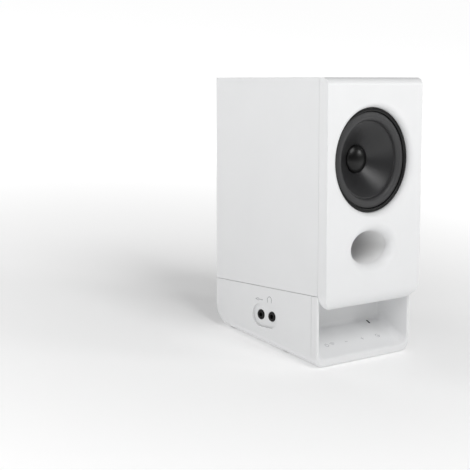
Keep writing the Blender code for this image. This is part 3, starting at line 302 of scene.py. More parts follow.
def arc_steps(count, reach=math.pi / 2):
    return [reach * i / count for i in range(count + 1)]


def rise(distance, radius):
    """How far a rounded edge stands off its face, this far in from the edge."""
    inside = min(radius, max(0.0, radius - distance))
    return radius - math.sqrt(radius * radius - inside * inside)


def rounded_outline(corners, steps=ARC):
    """Closed outline through (u, v, radius) corners."""
    outline = []
    for i, (u, v, radius) in enumerate(corners):
        here = Vector((u, v))
        if radius <= 0:
            outline.append(here)
            continue
        back = (Vector(corners[i - 1][:2]) - here).normalized()
        on = (Vector(corners[(i + 1) % len(corners)][:2]) - here).normalized()
        half = back.angle(on) / 2
        middle = here + (back + on).normalized() * radius / math.sin(half)
        start = here + back * radius / math.tan(half) - middle
        sweep = start.angle_signed(here + on * radius / math.tan(half) - middle)
        for a in arc_steps(steps, -sweep):
            outline.append(middle + Matrix.Rotation(a, 2) @ start)
    return outline


def skinned(name, rings, closed=False, place=None):
    """An object from rings with the same number of points, capped or closed on itself."""
    bm = bmesh.new()
    rows = [[bm.verts.new(point) for point in ring] for ring in rings]
    count = len(rows[0])
    pairs = list(zip(rows, rows[1:]))
    if closed:
        pairs.append((rows[-1], rows[0]))
    else:
        bm.faces.new(rows[0])
        bm.faces.new(rows[-1])
    for near, far in pairs:
        for i in range(count):
            j = (i + 1) % count
            bm.faces.new((near[i], near[j], far[j], far[i]))
    bmesh.ops.transform(bm, matrix=leaned @ (place or Matrix()), verts=bm.verts)
    bmesh.ops.recalc_face_normals(bm, faces=bm.faces)
    if bm.calc_volume(signed=True) < 0:
        bmesh.ops.reverse_faces(bm, faces=bm.faces)
    mesh = bpy.data.meshes.new(name)
    bm.to_mesh(mesh)
    bm.free()
    return placed(name, mesh)


def combine(obj, tool, operation):
    """Join a tool to an object, or cut it away, and drop the tool."""
    modifier = obj.modifiers.new(operation, "BOOLEAN")
    modifier.operation = operation
    modifier.solver = "EXACT"
    modifier.object = tool
    applied(obj)
    bpy.data.objects.remove(tool, do_unlink=True)


def oval(half_width, half_height, y, steps=ROUND):
    """Ring of points at one depth."""
    turns = [2 * math.pi * i / steps for i in range(steps)]
    return [(half_width * math.cos(t), y, half_height * math.sin(t)) for t in turns]


top_edge = [(rise(TOP_RADIUS * (1 - math.sin(a)), TOP_RADIUS), -TOP_RADIUS * (1 - math.sin(a)))
            for a in arc_steps(ARC)]
chin_reach = math.acos(1 - BAFFLE_DEPTH / CHIN_RADIUS)
chin_edge = [(CHIN_RADIUS * (1 - math.cos(a)), CHIN_BOTTOM + CHIN_RADIUS * (1 - math.sin(a)))
             for a in arc_steps(ARC + 6, chin_reach)]
side_view = [(BAFFLE_DEPTH, 0.0)] + top_edge[::-1] + chin_edge
MARGIN = 0.002
baffle = skinned("baffle_moulding", [[(x, y, z) for y, z in side_view]
                                     for x in (-HALF - MARGIN, HALF + MARGIN)])
front_view = rounded_outline([(-HALF, MARGIN, 0), (-HALF, CHIN_BOTTOM, CHIN_SIDE_RADIUS),
                              (HALF, CHIN_BOTTOM, CHIN_SIDE_RADIUS), (HALF, MARGIN, 0)], ARC + 6)
combine(baffle, skinned("front_view", [[(x, y, z) for x, z in front_view]
                                       for y in (-MARGIN, BAFFLE_DEPTH + MARGIN)]), "INTERSECT")
driver_place = Matrix.Translation((0, 0, -DRIVER_DROP))
port_place = Matrix.Translation((0, 0, -PORT_DROP))
hole = RING_RADIUS + GAP
dish_roll = DISH_ROLL - GAP
dish = [(hole + dish_roll * (1 - math.sin(a)), RING_SETBACK * (1 - math.cos(a)))
        for a in arc_steps(ARC)]
dish = [(hole + dish_roll * 1.3, -MARGIN)] + dish + [(hole, BAFFLE_DEPTH + MARGIN)]
combine(baffle, skinned("dish", [oval(r, r, y) for r, y in dish], place=driver_place),
        "DIFFERENCE")
trumpet = [(PORT_FLARE * (1 - math.sin(a)), PORT_FLARE * (1 - math.cos(a)))
           for a in arc_steps(ARC)]
trumpet = [(PORT_FLARE, -MARGIN)] + trumpet + [(0.0, BAFFLE_DEPTH + MARGIN)]
combine(baffle, skinned("trumpet", [oval(PORT_HALF_WIDTH + grow, PORT_HALF_HEIGHT + grow, y)
                                    for grow, y in trumpet], place=port_place), "DIFFERENCE")
rounding(baffle, 0.0004, 3, 55)
settle(baffle, white_plastic, replaces=("front_baffle",))


# ---- Port tube ----
# An oval duct moulded in white plastic, glued behind the trumpet and flared at its inner end.
TUBE_LENGTH = 0.0480
TUBE_WALL = 0.0018
FLANGE = 0.0025
FLANGE_THICKNESS = 0.002
TUBE_FLARE = 0.004
TUBE_FLARE_LENGTH = 0.006
tube_front = BAFFLE_DEPTH + GAP
tube_back = tube_front + TUBE_LENGTH
inner_flare = [(TUBE_FLARE * (1 - math.cos(a)), tube_back - TUBE_FLARE_LENGTH * (1 - math.sin(a)))
               for a in arc_steps(ARC)]
stations = [(0.0, tube_front), (TUBE_WALL + FLANGE, tube_front),
            (TUBE_WALL + FLANGE, tube_front + FLANGE_THICKNESS),
            (TUBE_WALL, tube_front + FLANGE_THICKNESS)]
stations += [(TUBE_WALL + grow, y) for grow, y in inner_flare]
stations += [(grow, y) for grow, y in inner_flare[::-1]]
tube = skinned("port_duct", [oval(PORT_HALF_WIDTH + grow, PORT_HALF_HEIGHT + grow, y)
                             for grow, y in stations], closed=True, place=port_place)
# A lighter copy of the white plastic: painted light that brightens the inside of the port.
lightened_port_plastic = finish("bright white plastic", (0.94, 0.94, 0.94), 0.40, grain=1500.0)
settle(tube, lightened_port_plastic, replaces=("port_tube",))


# ---- Driver trim ring ----
# A narrow black plastic ring, turned smooth, that hides the edge of the rubber surround.
RING_BAND = 0.0027
RING_EDGE = 0.0005
RING_INNER_EDGE = 0.0009


def turned(name, profile, place=driver_place, closed=True, steps=ROUND):
    """A piece turned round the y axis from its (radius, y) profile."""
    return skinned(name, [oval(r, r, y, steps) for r, y in profile], closed, place)


black_plastic = finish("black satin plastic", (0.006, 0.006, 0.006), 0.30, grain=2200.0,
                       specular=0.30)
ring_inner = RING_RADIUS - RING_BAND
ring_profile = [(RING_RADIUS - RING_EDGE * (1 - math.sin(a)),
                 RING_SETBACK + RING_EDGE * (1 - math.cos(a))) for a in arc_steps(4)]
ring_profile += [(RING_RADIUS, BAFFLE_DEPTH), (ring_inner, BAFFLE_DEPTH)]
ring_profile += [(ring_inner + RING_INNER_EDGE * (1 - math.cos(a)),
                  RING_SETBACK + RING_INNER_EDGE * (1 - math.sin(a))) for a in arc_steps(5)]
ring = turned("trim_ring", ring_profile)
settle(ring, black_plastic, replaces=("driver_trim_ring",))
repaint(foam, "driver_gasket")


# ---- Driver frame and motor ----
# Pressed steel basket, painted black, with a ferrite ring clamped between two zinc-plated plates.
black_steel = finish("black painted steel", (0.030, 0.030, 0.032), 0.45, 0.4, grain=1800.0)
plated_steel = finish("zinc-plated steel", (0.46, 0.47, 0.48), 0.34, 1.0, grain=700.0, mottle=0.08)
ferrite = finish("ferrite", (0.045, 0.045, 0.047), 0.62, grain=2600.0, height=0.00002, mottle=0.15)
for node, radius, material in (("driver_basket", 0.0003, black_steel),
                               ("top_plate", 0.0003, plated_steel),
                               ("ring_magnet", 0.0002, ferrite),
                               ("pole_yoke", 0.0004, plated_steel)):
    eased(node, radius, material)


# ---- Cone, dust cap and voice coil ----
# The cone is pressed paper pulp with a dark coating that leaves a soft fibrous grain. The cap is
# smoother. Behind them an aluminium former carries the copper winding.
CONE_RIM = 0.0098
CONE_DEPTH = 0.327 * RING_RADIUS
COIL_RADIUS = 0.275 * RING_RADIUS
FORMER_WALL = 0.0003
FORMER_LENGTH = 0.0160
ROLL_WIDTH = 0.0071
CONE_WALL = 0.0007
NECK_LAP = 0.0004
CAP_HEIGHT = 0.0052
CAP_WALL = 0.0005
CAP_TIP = 0.0002
FORMER_OUTER = COIL_RADIUS + FORMER_WALL
ROLL_INNER = RING_RADIUS - RING_BAND - ROLL_WIDTH
CONE_OUTER = ROLL_INNER - GAP
CONE_FACE = CONE_RIM - CONE_WALL - GAP


def pulp(name, colour, roughness):
    """Coated paper pulp: short fibres in every direction over a fine noise grain."""
    material = finish(name, colour, roughness, grain=1300.0, height=0.00003, mottle=0.10,
                      specular=0.52)
    tree = material.node_tree
    shader = tree.nodes["Principled BSDF"]
    bump = next(node for node in tree.nodes if node.type == "BUMP")
    fibres = tree.nodes.new("ShaderNodeTexVoronoi")
    fibres.feature = "DISTANCE_TO_EDGE"
    fibres.inputs["Scale"].default_value = 420.0
    coat = tree.nodes.new("ShaderNodeBump")
    coat.inputs["Distance"].default_value = 0.00002
    place = next(node for node in tree.nodes if node.type == "TEX_COORD")
    tree.links.new(place.outputs["Object"], fibres.inputs["Vector"])
    tree.links.new(fibres.outputs["Distance"], coat.inputs["Height"])
    tree.links.new(bump.outputs["Normal"], coat.inputs["Normal"])
    tree.links.new(coat.outputs["Normal"], shader.inputs["Normal"])
    return material


def cone_front(share):
    """Radius and depth on the front of the cone, this share of the way in from its rim."""
    radius = CONE_OUTER + (FORMER_OUTER - NECK_LAP - CONE_OUTER) * share
    return radius, CONE_FACE + (CONE_DEPTH - CONE_WALL) * share ** 1.12


coated_pulp = pulp("coated paper pulp", (0.010, 0.010, 0.011), 0.37)
cone_steps = 28
cone_profile = [cone_front(i / cone_steps) for i in range(cone_steps + 1)]
cone_profile += [(radius, y + CONE_WALL) for radius, y in cone_profile[::-1]]
cone = turned("speaker_cone", cone_profile)
settle(cone, coated_pulp, "cone_assembly", ("cone",))

cap_coat = finish("black cap coating", (0.002, 0.002, 0.002), 0.30, grain=1500.0, specular=0.30)
cap_foot = CONE_FACE + CONE_DEPTH
cap_outside = [(FORMER_OUTER * math.sin(a), cap_foot - CAP_HEIGHT * math.cos(a))
               for a in arc_steps(24)[1:]]
cap_inside = [(r * 0.95, y + CAP_WALL) for r, y in cap_outside]
cap_profile = [(CAP_TIP, cap_foot - CAP_HEIGHT)] + cap_outside + cap_inside[::-1]
cap_profile.append((CAP_TIP, cap_foot - CAP_HEIGHT + CAP_WALL))
cap = turned("cap_dome", cap_profile, closed=False)
settle(cap, cap_coat, "cone_assembly", ("dust_cap",))

aluminium = finish("satin aluminium", (0.60, 0.61, 0.62), 0.40, 1.0, grain=900.0)
repaint(aluminium, "coil_former")


def shaping_tree(name, output, inputs):
    """A node tree with one named output and its named inputs, whose ids are given back."""
    tree = bpy.data.node_groups.new(name, "GeometryNodeTree")
    tree.interface.new_socket(output, in_out="OUTPUT", socket_type="NodeSocketGeometry")
    ids = {}
    for label, kind in inputs:
        socket = tree.interface.new_socket(label, in_out="INPUT", socket_type="NodeSocket" + kind)
        ids[label] = socket.identifier
    return tree, ids


def end_tree(tree, shape, material):
    """Lead the shape through real meshes and one material to the tree's output."""
    real = tree.nodes.new("GeometryNodeRealizeInstances")
    painted = tree.nodes.new("GeometryNodeSetMaterial")
    result = tree.nodes.new("NodeGroupOutput")
    tree.links.new(shape, real.inputs["Geometry"])
    tree.links.new(real.outputs["Geometry"], painted.inputs["Geometry"])
    tree.links.new(material, painted.inputs["Material"])
    tree.links.new(painted.outputs["Geometry"], result.inputs[0])


def wound_wire_tree():
    """Copper wire wound as a close helix, from its radius, length, turns and wire size."""
    tree, ids = shaping_tree("wound wire", "Winding", (
        ("Radius", "Float"), ("Length", "Float"), ("Turns", "Float"), ("Wire radius", "Float"),
        ("Placing", "Object"), ("Copper", "Material")))
    nodes = tree.nodes
    given = nodes.new("NodeGroupInput")
    spiral = nodes.new("GeometryNodeCurveSpiral")
    spiral.inputs["Resolution"].default_value = 28
    wire = nodes.new("GeometryNodeCurvePrimitiveCircle")
    wire.inputs["Resolution"].default_value = 6
    tube_of = nodes.new("GeometryNodeCurveToMesh")
    tube_of.inputs["Fill Caps"].default_value = True
    where = nodes.new("GeometryNodeObjectInfo")
    moved = nodes.new("GeometryNodeTransform")
    links = tree.links
    links.new(given.outputs["Turns"], spiral.inputs["Rotations"])
    links.new(given.outputs["Radius"], spiral.inputs["Start Radius"])
    links.new(given.outputs["Radius"], spiral.inputs["End Radius"])
    links.new(given.outputs["Length"], spiral.inputs["Height"])
    links.new(given.outputs["Wire radius"], wire.inputs["Radius"])
    links.new(spiral.outputs["Curve"], tube_of.inputs["Curve"])
    links.new(wire.outputs["Curve"], tube_of.inputs["Profile Curve"])
    links.new(given.outputs["Placing"], where.inputs["Object"])
    links.new(where.outputs["Location"], moved.inputs["Translation"])
    links.new(where.outputs["Rotation"], moved.inputs["Rotation"])
    links.new(tube_of.outputs["Mesh"], moved.inputs["Geometry"])
    end_tree(tree, moved.outputs["Geometry"], given.outputs["Copper"])
    return tree, ids


def grown(name, tree, ids, values):
    """A plain mesh object from a node tree and its named inputs."""
    holder = placed(name, bpy.data.meshes.new(name))
    modifier = holder.modifiers.new(name, "NODES")
    modifier.node_group = tree
    for label, value in values.items():
        modifier[ids[label]] = value
    applied(holder)
    return holder


copper = finish("enamelled copper", (0.55, 0.22, 0.10), 0.30, 1.0, grain=3000.0, mottle=0.10)
WINDING_LENGTH = 0.0074
WIRE_RADIUS = 0.00026
former_end = CONE_RIM + CONE_DEPTH - CONE_WALL + FORMER_LENGTH
winding_front = former_end - GAP - WINDING_LENGTH
coil_place = placed("coil place")
coil_place.matrix_world = (leaned @ Matrix.Translation((0, winding_front, -DRIVER_DROP))
                           @ Matrix.Rotation(-math.pi / 2, 4, "X"))
bpy.context.view_layer.update()
wound_wire, wound_ids = wound_wire_tree()
winding = grown("coil_winding", wound_wire, wound_ids, {
    "Radius": FORMER_OUTER + GAP / 3 + WIRE_RADIUS, "Length": WINDING_LENGTH, "Turns": 15.0,
    "Wire radius": WIRE_RADIUS, "Placing": coil_place, "Copper": copper})
settle(winding, copper, "cone_assembly", ("voice_coil",))
bpy.data.objects.remove(coil_place, do_unlink=True)


# ---- Surround and spider ----
# A half roll of soft black rubber carries the rim of the cone. It is made in sectors, because each
# one stretches along its own radius when the cone moves. The spider, of pleated cloth, is too.
ROLL_OUTER = RING_RADIUS - RING_BAND - GAP
ROLL_FOOT = CONE_FACE
ROLL_RISE = ROLL_FOOT - RING_SETBACK - GAP
ROLL_START = 0.80
ROLL_WALL = 0.0005
OUTER_LIP = 0.0006
INNER_LIP = 0.0008
SECTORS = 24


def roll_sector_tree():
    """One sector of the half roll, from a flat grid bent by its turn and its cross-section."""
    tree, ids = shaping_tree("half roll sector", "Sector", (
        ("Turn", "Float"), ("Sweep", "Float"), ("Middle radius", "Float"), ("Half width", "Float"),
        ("Rise", "Float"), ("Start angle", "Float"), ("Outer lip", "Float"),
        ("Inner lip", "Float"), ("Rubber", "Material")))
    nodes, links = tree.nodes, tree.links
    given = nodes.new("NodeGroupInput")

    def math_of(operation, first, second=None):
        node = nodes.new("ShaderNodeMath")
        node.operation = operation
        for socket, value in zip(node.inputs, (first, second)):
            if isinstance(value, (int, float)):
                socket.default_value = value
            elif value is not None:
                links.new(value, socket)
        return node.outputs[0]

    def ranged(value, low, high, to_low, to_high):
        node = nodes.new("ShaderNodeMapRange")
        links.new(value, node.inputs["Value"])
        for label, number in (("From Min", low), ("From Max", high), ("To Min", to_low),
                              ("To Max", to_high)):
            if isinstance(number, (int, float)):
                node.inputs[label].default_value = number
            else:
                links.new(number, node.inputs[label])
        return node.outputs["Result"]

    grid = nodes.new("GeometryNodeMeshGrid")
    grid.inputs["Size X"].default_value = 1.0
    grid.inputs["Size Y"].default_value = 1.0
    grid.inputs["Vertices X"].default_value = 8
    grid.inputs["Vertices Y"].default_value = 34
    place = nodes.new("GeometryNodeInputPosition")
    parts = nodes.new("ShaderNodeSeparateXYZ")
    links.new(place.outputs["Position"], parts.inputs["Vector"])
    turn = math_of("ADD", given.outputs["Turn"],
                   math_of("MULTIPLY", parts.outputs["X"], given.outputs["Sweep"]))
    across = math_of("ADD", parts.outputs["Y"], 0.5)
    bend = ranged(across, 0.12, 0.90, given.outputs["Start angle"], math.pi)
    outer = ranged(across, 0.0, 0.12, given.outputs["Outer lip"], 0.0)
    inner = ranged(across, 0.90, 1.0, 0.0, given.outputs["Inner lip"])
    widest = math_of("DIVIDE", 1.0, math_of("COSINE", given.outputs["Start angle"]))
    spread = math_of("MULTIPLY", math_of("COSINE", bend), ranged(across, 0.12, 0.51, widest, 1.0))
    roll = math_of("MULTIPLY", spread, given.outputs["Half width"])
    rolled = math_of("ADD", roll, given.outputs["Middle radius"])
    radius = math_of("SUBTRACT", math_of("ADD", rolled, outer), inner)
    standing = math_of("MULTIPLY", ranged(across, 0.0, 0.12, 0.0, 1.0), given.outputs["Rise"])
    forward = math_of("MULTIPLY", math_of("SINE", bend), math_of("MULTIPLY", standing, -1.0))
    joined = nodes.new("ShaderNodeCombineXYZ")
    links.new(math_of("MULTIPLY", radius, math_of("COSINE", turn)), joined.inputs["X"])
    links.new(forward, joined.inputs["Y"])
    links.new(math_of("MULTIPLY", radius, math_of("SINE", turn)), joined.inputs["Z"])
    bent = nodes.new("GeometryNodeSetPosition")
    links.new(grid.outputs["Mesh"], bent.inputs["Geometry"])
    links.new(joined.outputs["Vector"], bent.inputs["Position"])
    end_tree(tree, bent.outputs["Geometry"], given.outputs["Rubber"])
    return tree, ids


soft_rubber = finish("soft black rubber", (0.036, 0.036, 0.037), 0.50, grain=1900.0,
                     height=0.000008, mottle=0.06)
sector_tree, sector_ids = roll_sector_tree()
roll_place = leaned @ Matrix.Translation((0, ROLL_FOOT, -DRIVER_DROP))
sweep = 2 * math.pi / SECTORS
for number in range(SECTORS):
    turn = (number + 0.5) * sweep
    sector = grown(f"surround_sector_{number + 1:02d}", sector_tree, sector_ids, {
        "Turn": turn, "Sweep": sweep, "Middle radius": (ROLL_OUTER + ROLL_INNER) / 2,
        "Half width": (ROLL_OUTER - ROLL_INNER) / 2, "Rise": ROLL_RISE,
        "Start angle": ROLL_START, "Outer lip": OUTER_LIP, "Inner lip": INNER_LIP,
        "Rubber": soft_rubber})
    bm = bmesh.new()
    bm.from_mesh(sector.data)
    bm.normal_update()
    if sum(face.normal.y for face in bm.faces) > 0:
        bmesh.ops.reverse_faces(bm, faces=bm.faces)
    bmesh.ops.transform(bm, matrix=roll_place, verts=bm.verts)
    bm.to_mesh(sector.data)
    bm.free()
    sector.data.shade_smooth()
    sheet = sector.modifiers.new("Rubber thickness", "SOLIDIFY")
    sheet.thickness = ROLL_WALL
    sheet.offset = -1.0
    smoothed(applied(sector), 50)
    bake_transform(sector)
    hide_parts("cone_surround")


def woven_cloth(name, colour, thread):
    """Plain weave, stiffened with resin."""
    material = finish(name, colour, 0.8, grain=800.0, height=0.00002, mottle=0.12)
    tree = material.node_tree
    shader = tree.nodes["Principled BSDF"]
    place = next(node for node in tree.nodes if node.type == "TEX_COORD")
    before = next(node for node in tree.nodes if node.type == "BUMP")
    for axis in ("X", "Z"):
        wave = tree.nodes.new("ShaderNodeTexWave")
        wave.bands_direction = axis
        wave.inputs["Scale"].default_value = 0.314 / thread
        weave = tree.nodes.new("ShaderNodeBump")
        weave.inputs["Distance"].default_value = thread / 4
        tree.links.new(place.outputs["Object"], wave.inputs["Vector"])
        tree.links.new(wave.outputs["Fac"], weave.inputs["Height"])
        tree.links.new(before.outputs["Normal"], weave.inputs["Normal"])
        before = weave
    tree.links.new(before.outputs["Normal"], shader.inputs["Normal"])
    return material


SPIDER_OUTER = 0.63 * RING_RADIUS
SPIDER_INNER = FORMER_OUTER + GAP
SPIDER_WALL = 0.0004
PLEATS = 3
PLEAT_DEPTH = 0.0009
COIL_MIDDLE = 0.0040
TOP_PLATE = 0.0040
BASKET_PLATE = 0.0020
SPIDER_AHEAD = 0.0035
top_plate_front = former_end - COIL_MIDDLE - TOP_PLATE / 2
spider_seat = top_plate_front - GAP - BASKET_PLATE - SPIDER_AHEAD
treated_cloth = woven_cloth("treated cloth", (0.42, 0.26, 0.09), 0.0005)
for number in range(SECTORS):
    turn = number * sweep
    rows = []
    for i in range(PLEATS * 12 + 1):
        share = i / (PLEATS * 12)
        fade = min(1.0, 4 * share, 4 * (1 - share))
        r = SPIDER_INNER + (SPIDER_OUTER - SPIDER_INNER) * share
        y = spider_seat - SPIDER_WALL + PLEAT_DEPTH * fade * math.sin(2 * math.pi * PLEATS * share)
        rows.append((r, y))
    rows += [(r, y + SPIDER_WALL) for r, y in rows[::-1]]
    rings = [[(r * math.cos(turn + sweep * j / 6), y, r * math.sin(turn + sweep * j / 6))
              for r, y in rows] for j in range(7)]
    cloth = skinned(f"spider_sector_{number + 1:02d}", rings, place=driver_place)
    cloth.data.materials.append(treated_cloth)
    smoothed(cloth.data, 50)
    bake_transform(cloth)
    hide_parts("spider")


# ---- Screws ----
# Pan-head screws with a cross recess hold the driver, the back panel and the base. One screw of
# each length is made, and a node tree sets it at every hole of its group.
SHANK = 0.0014
HEAD = 0.0028
HEAD_RISE = 0.0017
RECESS_REACH = 0.0016
RECESS_HALF = 0.00035


def screw_tree():
    """A screw set at every point of the holder's mesh, all facing one way."""
    tree, ids = shaping_tree("set screws", "Screws", (
        ("Places", "Geometry"), ("Screw", "Object"), ("Facing", "Vector"), ("Steel", "Material")))
    nodes, links = tree.nodes, tree.links
    given = nodes.new("NodeGroupInput")
    one = nodes.new("GeometryNodeObjectInfo")
    one.inputs["As Instance"].default_value = True
    to_rotation = nodes.new("FunctionNodeEulerToRotation")
    set_each = nodes.new("GeometryNodeInstanceOnPoints")
    links.new(given.outputs["Screw"], one.inputs["Object"])
    links.new(given.outputs["Facing"], to_rotation.inputs["Euler"])
    links.new(given.outputs["Places"], set_each.inputs["Points"])
    links.new(one.outputs["Geometry"], set_each.inputs["Instance"])
    links.new(to_rotation.outputs["Rotation"], set_each.inputs["Rotation"])
    end_tree(tree, set_each.outputs["Instances"], given.outputs["Steel"])
    return tree, ids


def one_screw(length):
    """A screw whose head stands above y = 0 and whose shank runs along +y."""
    head = [(HEAD * math.sin(a), -HEAD_RISE * (0.35 + 0.65 * math.cos(a)))
            for a in arc_steps(5)[1:]]
    profile = [(0.0002, -HEAD_RISE)] + head
    profile += [(HEAD, 0.0), (SHANK, 0.0), (SHANK, length - 0.0012), (0.0003, length)]
    screw = skinned("screw", [oval(r, r, y, 20) for r, y in profile], False, leaned.inverted())
    for angle in (0.0, math.pi / 2):
        turn = leaned.inverted() @ Matrix.Rotation(angle, 4, "Y")
        outline = ((-RECESS_REACH, -RECESS_HALF), (RECESS_REACH, -RECESS_HALF),
                   (RECESS_REACH, RECESS_HALF), (-RECESS_REACH, RECESS_HALF))
        slot = [[(x, y, z) for x, z in outline] for y in (-0.003, -0.0007)]
        combine(screw, skinned("slot", slot, place=turn), "DIFFERENCE")
    return screw


set_screws, screw_ids = screw_tree()
reach = (RING_RADIUS + GAP + SHANK + 0.0008) * math.sqrt(0.5)
PANEL_INSET = 0.0115
BASE_INSET = 0.0090
screw_groups = (
    ("driver_screws", "driver_screw", 0.0052, math.pi,
     [(x, 0.0124, z - DRIVER_DROP) for x in (-reach, reach) for z in (-reach, reach)], "Z"),
    ("panel_screws", "panel_screw", 0.0130, math.pi,
     [(x, DEPTH - HEAD_RISE, z) for x in (-HALF + PANEL_INSET, HALF - PANEL_INSET)
      for z in (-PANEL_INSET, -HEIGHT + PANEL_INSET)], "Z"),
    ("base_screws", "base_screw", 0.0095, math.pi / 2,
     [(x, y, -HEIGHT - 0.0046) for x in (-HALF + BASE_INSET, HALF - BASE_INSET)
      for y in (0.0500, 0.1120)], "X"),
)
for group, node, length, angle, places, about in screw_groups:
    screw = one_screw(length)
    spots = bpy.data.meshes.new(group)
    spots.from_pydata([tuple(leaned @ Vector(place)) for place in places], [], [])
    facing = (leaned.to_3x3() @ Matrix.Rotation(angle, 3, about)).to_euler()
    holder = placed(group, spots)
    modifier = holder.modifiers.new("Set screws", "NODES")
    modifier.node_group = set_screws
    modifier[screw_ids["Screw"]] = screw
    modifier[screw_ids["Facing"]] = tuple(facing)
    modifier[screw_ids["Steel"]] = black_steel
    settle(holder, black_steel, replaces=[f"{node}_{i}" for i in range(1, 5)])
    bpy.data.objects.remove(screw, do_unlink=True)


# ---- Base housing ----
# The rear shell of the wedge base, moulded in white plastic, with a window for the side sockets,
# one for the rear connectors and a well for each screw that holds it to the cabinet.
eased("base_housing", 0.0003, white_plastic)


# ---- Phone tray ----
# Front frame of the base and the niche behind it, in one moulding. The floor slopes up to the back
# wall, and every inside corner is rounded.
BASE_SETBACK = 0.0090
FRAME_DEPTH = 0.0064
BASE_HEIGHT = 0.0537
BASE_BOTTOM = -HEIGHT - BASE_HEIGHT
BASE_TOP = -HEIGHT - GAP
UNDERSIDE = math.tan(LEAN)
CORNER_RADIUS = 0.0076
LIP_RADIUS = 0.0024
SIDE_RADIUS = 0.0009
NICHE_DEPTH = 0.0315
NICHE_LIP = 0.0060
NICHE_SLOPE = math.radians(27.0)
NICHE_RADIUS = 0.0052
RIM = 0.0025
MOUTH_RADIUS = 0.0013
BACK_RADIUS = 0.0020
HOUSING_WALL = 0.0017
TRAY_WALL = 0.0010
TRAY_FLOOR = 0.0020
TRAY_OUTSIDE = HALF - HOUSING_WALL - GAP
TRAY_INSIDE = TRAY_OUTSIDE - TRAY_WALL
niche_back = BASE_SETBACK + NICHE_DEPTH
frame_back = BASE_SETBACK + FRAME_DEPTH - GAP / 2


def bottom_at(y):
    """Height of the underside, whose front edge is rounded."""
    return BASE_BOTTOM + (y - BASE_SETBACK) * UNDERSIDE + rise(y - BASE_SETBACK, LIP_RADIUS)


def floor_at(y):
    """Height of the niche floor."""
    return BASE_BOTTOM + NICHE_LIP + (y - BASE_SETBACK) * math.tan(NICHE_SLOPE)


def trough(y, half_width, bottom, radius, top):
    """Ring at one depth with square upper and round lower corners."""
    corners = [(-half_width, top, 0), (-half_width, bottom, radius),
               (half_width, bottom, radius), (half_width, top, 0)]
    return [(x, y, z) for x, z in rounded_outline(corners, ARC)]


rings = []
for a in arc_steps(10):
    y = BASE_SETBACK + LIP_RADIUS * (1 - math.cos(a))
    rings.append(trough(y, HALF - rise(y - BASE_SETBACK, SIDE_RADIUS), bottom_at(y), CORNER_RADIUS,
                        BASE_TOP))
rings.append(trough(frame_back, HALF, bottom_at(frame_back), CORNER_RADIUS, BASE_TOP))
for y in (frame_back + 0.0001, niche_back + TRAY_FLOOR):
    rings.append(trough(y, TRAY_OUTSIDE, floor_at(y) - TRAY_FLOOR, NICHE_RADIUS + TRAY_WALL,
                        BASE_TOP))
tray = skinned("phone_niche", rings)


def niche_half(y):
    """Half the width of the niche, which opens a little behind its frame."""
    front = HALF - RIM
    return front + (TRAY_INSIDE - front) * min(1.0, max(0.0, (y - BASE_SETBACK) / FRAME_DEPTH))


rings = [trough(BASE_SETBACK - MARGIN, HALF - RIM + MOUTH_RADIUS,
                floor_at(BASE_SETBACK) - MOUTH_RADIUS, NICHE_RADIUS + MOUTH_RADIUS, 0.0)]
for a in arc_steps(8):
    y = BASE_SETBACK + MOUTH_RADIUS * (1 - math.cos(a))
    spread = MOUTH_RADIUS * (1 - math.sin(a))
    rings.append(trough(y, niche_half(y) + spread, floor_at(y) - spread, NICHE_RADIUS + spread,
                        0.0))
rings.append(trough(BASE_SETBACK + FRAME_DEPTH, TRAY_INSIDE, floor_at(BASE_SETBACK + FRAME_DEPTH),
                    NICHE_RADIUS, 0.0))
for a in arc_steps(8):
    y = niche_back - BACK_RADIUS * (1 - math.sin(a))
    inset = BACK_RADIUS * (1 - math.cos(a))
    rings.append(trough(y, TRAY_INSIDE - inset, floor_at(y) + inset, NICHE_RADIUS, 0.0))
combine(tray, skinned("niche_space", rings), "DIFFERENCE")

LIGHT_X, LIGHT_Y = 0.0332, niche_back - 0.0031
LIGHT_CORNER = 0.0007
niche_floor = Matrix.Translation((LIGHT_X, LIGHT_Y, floor_at(LIGHT_Y)))
niche_floor = niche_floor @ Matrix.Rotation(NICHE_SLOPE, 4, "X")


def lamp_shape(name, grow, low, high):
    """The light pipe, or the slot for it when it is grown by a gap."""
    half_u, half_v = 0.0008 + grow, 0.0022 + grow
    outline = rounded_outline([(u, v, LIGHT_CORNER + grow) for u, v in (
        (-half_u, -half_v), (half_u, -half_v), (half_u, half_v), (-half_u, half_v))], 6)
    return skinned(name, [[(u, v, z) for u, v in outline] for z in (low, high)], place=niche_floor)


combine(tray, lamp_shape("lamp_slot", GAP / 2, -0.008, 0.004), "DIFFERENCE")
settle(tray, white_plastic, replaces=("phone_tray",))


# ---- Status lamp and touch marks ----
# A smoked light pipe ends flush with the niche floor. Grey marks printed on the floor show where
# the touch sensors are: standby, wireless, quieter, louder and source.
smoked = finish("smoked clear plastic", (0.020, 0.020, 0.022), 0.18, grain=2500.0)
lamp = lamp_shape("lamp_pipe", 0.0, -0.0042, -0.00005)
settle(lamp, smoked, replaces=("status_light",))

STROKE = 0.00042
INK_RISE = 0.00004
pale_ink = finish("pale grey ink", (0.52, 0.53, 0.54), 0.5, grain=3000.0)


def arc_points(centre, radius, start, turn, steps=28):
    """Points along an arc of a printed mark, its start and turn in degrees."""
    start, turn = math.radians(start), math.radians(turn)
    return [Vector(centre) + radius * Vector((math.cos(start + turn * i / steps),
                                              math.sin(start + turn * i / steps)))
            for i in range(steps + 1)]


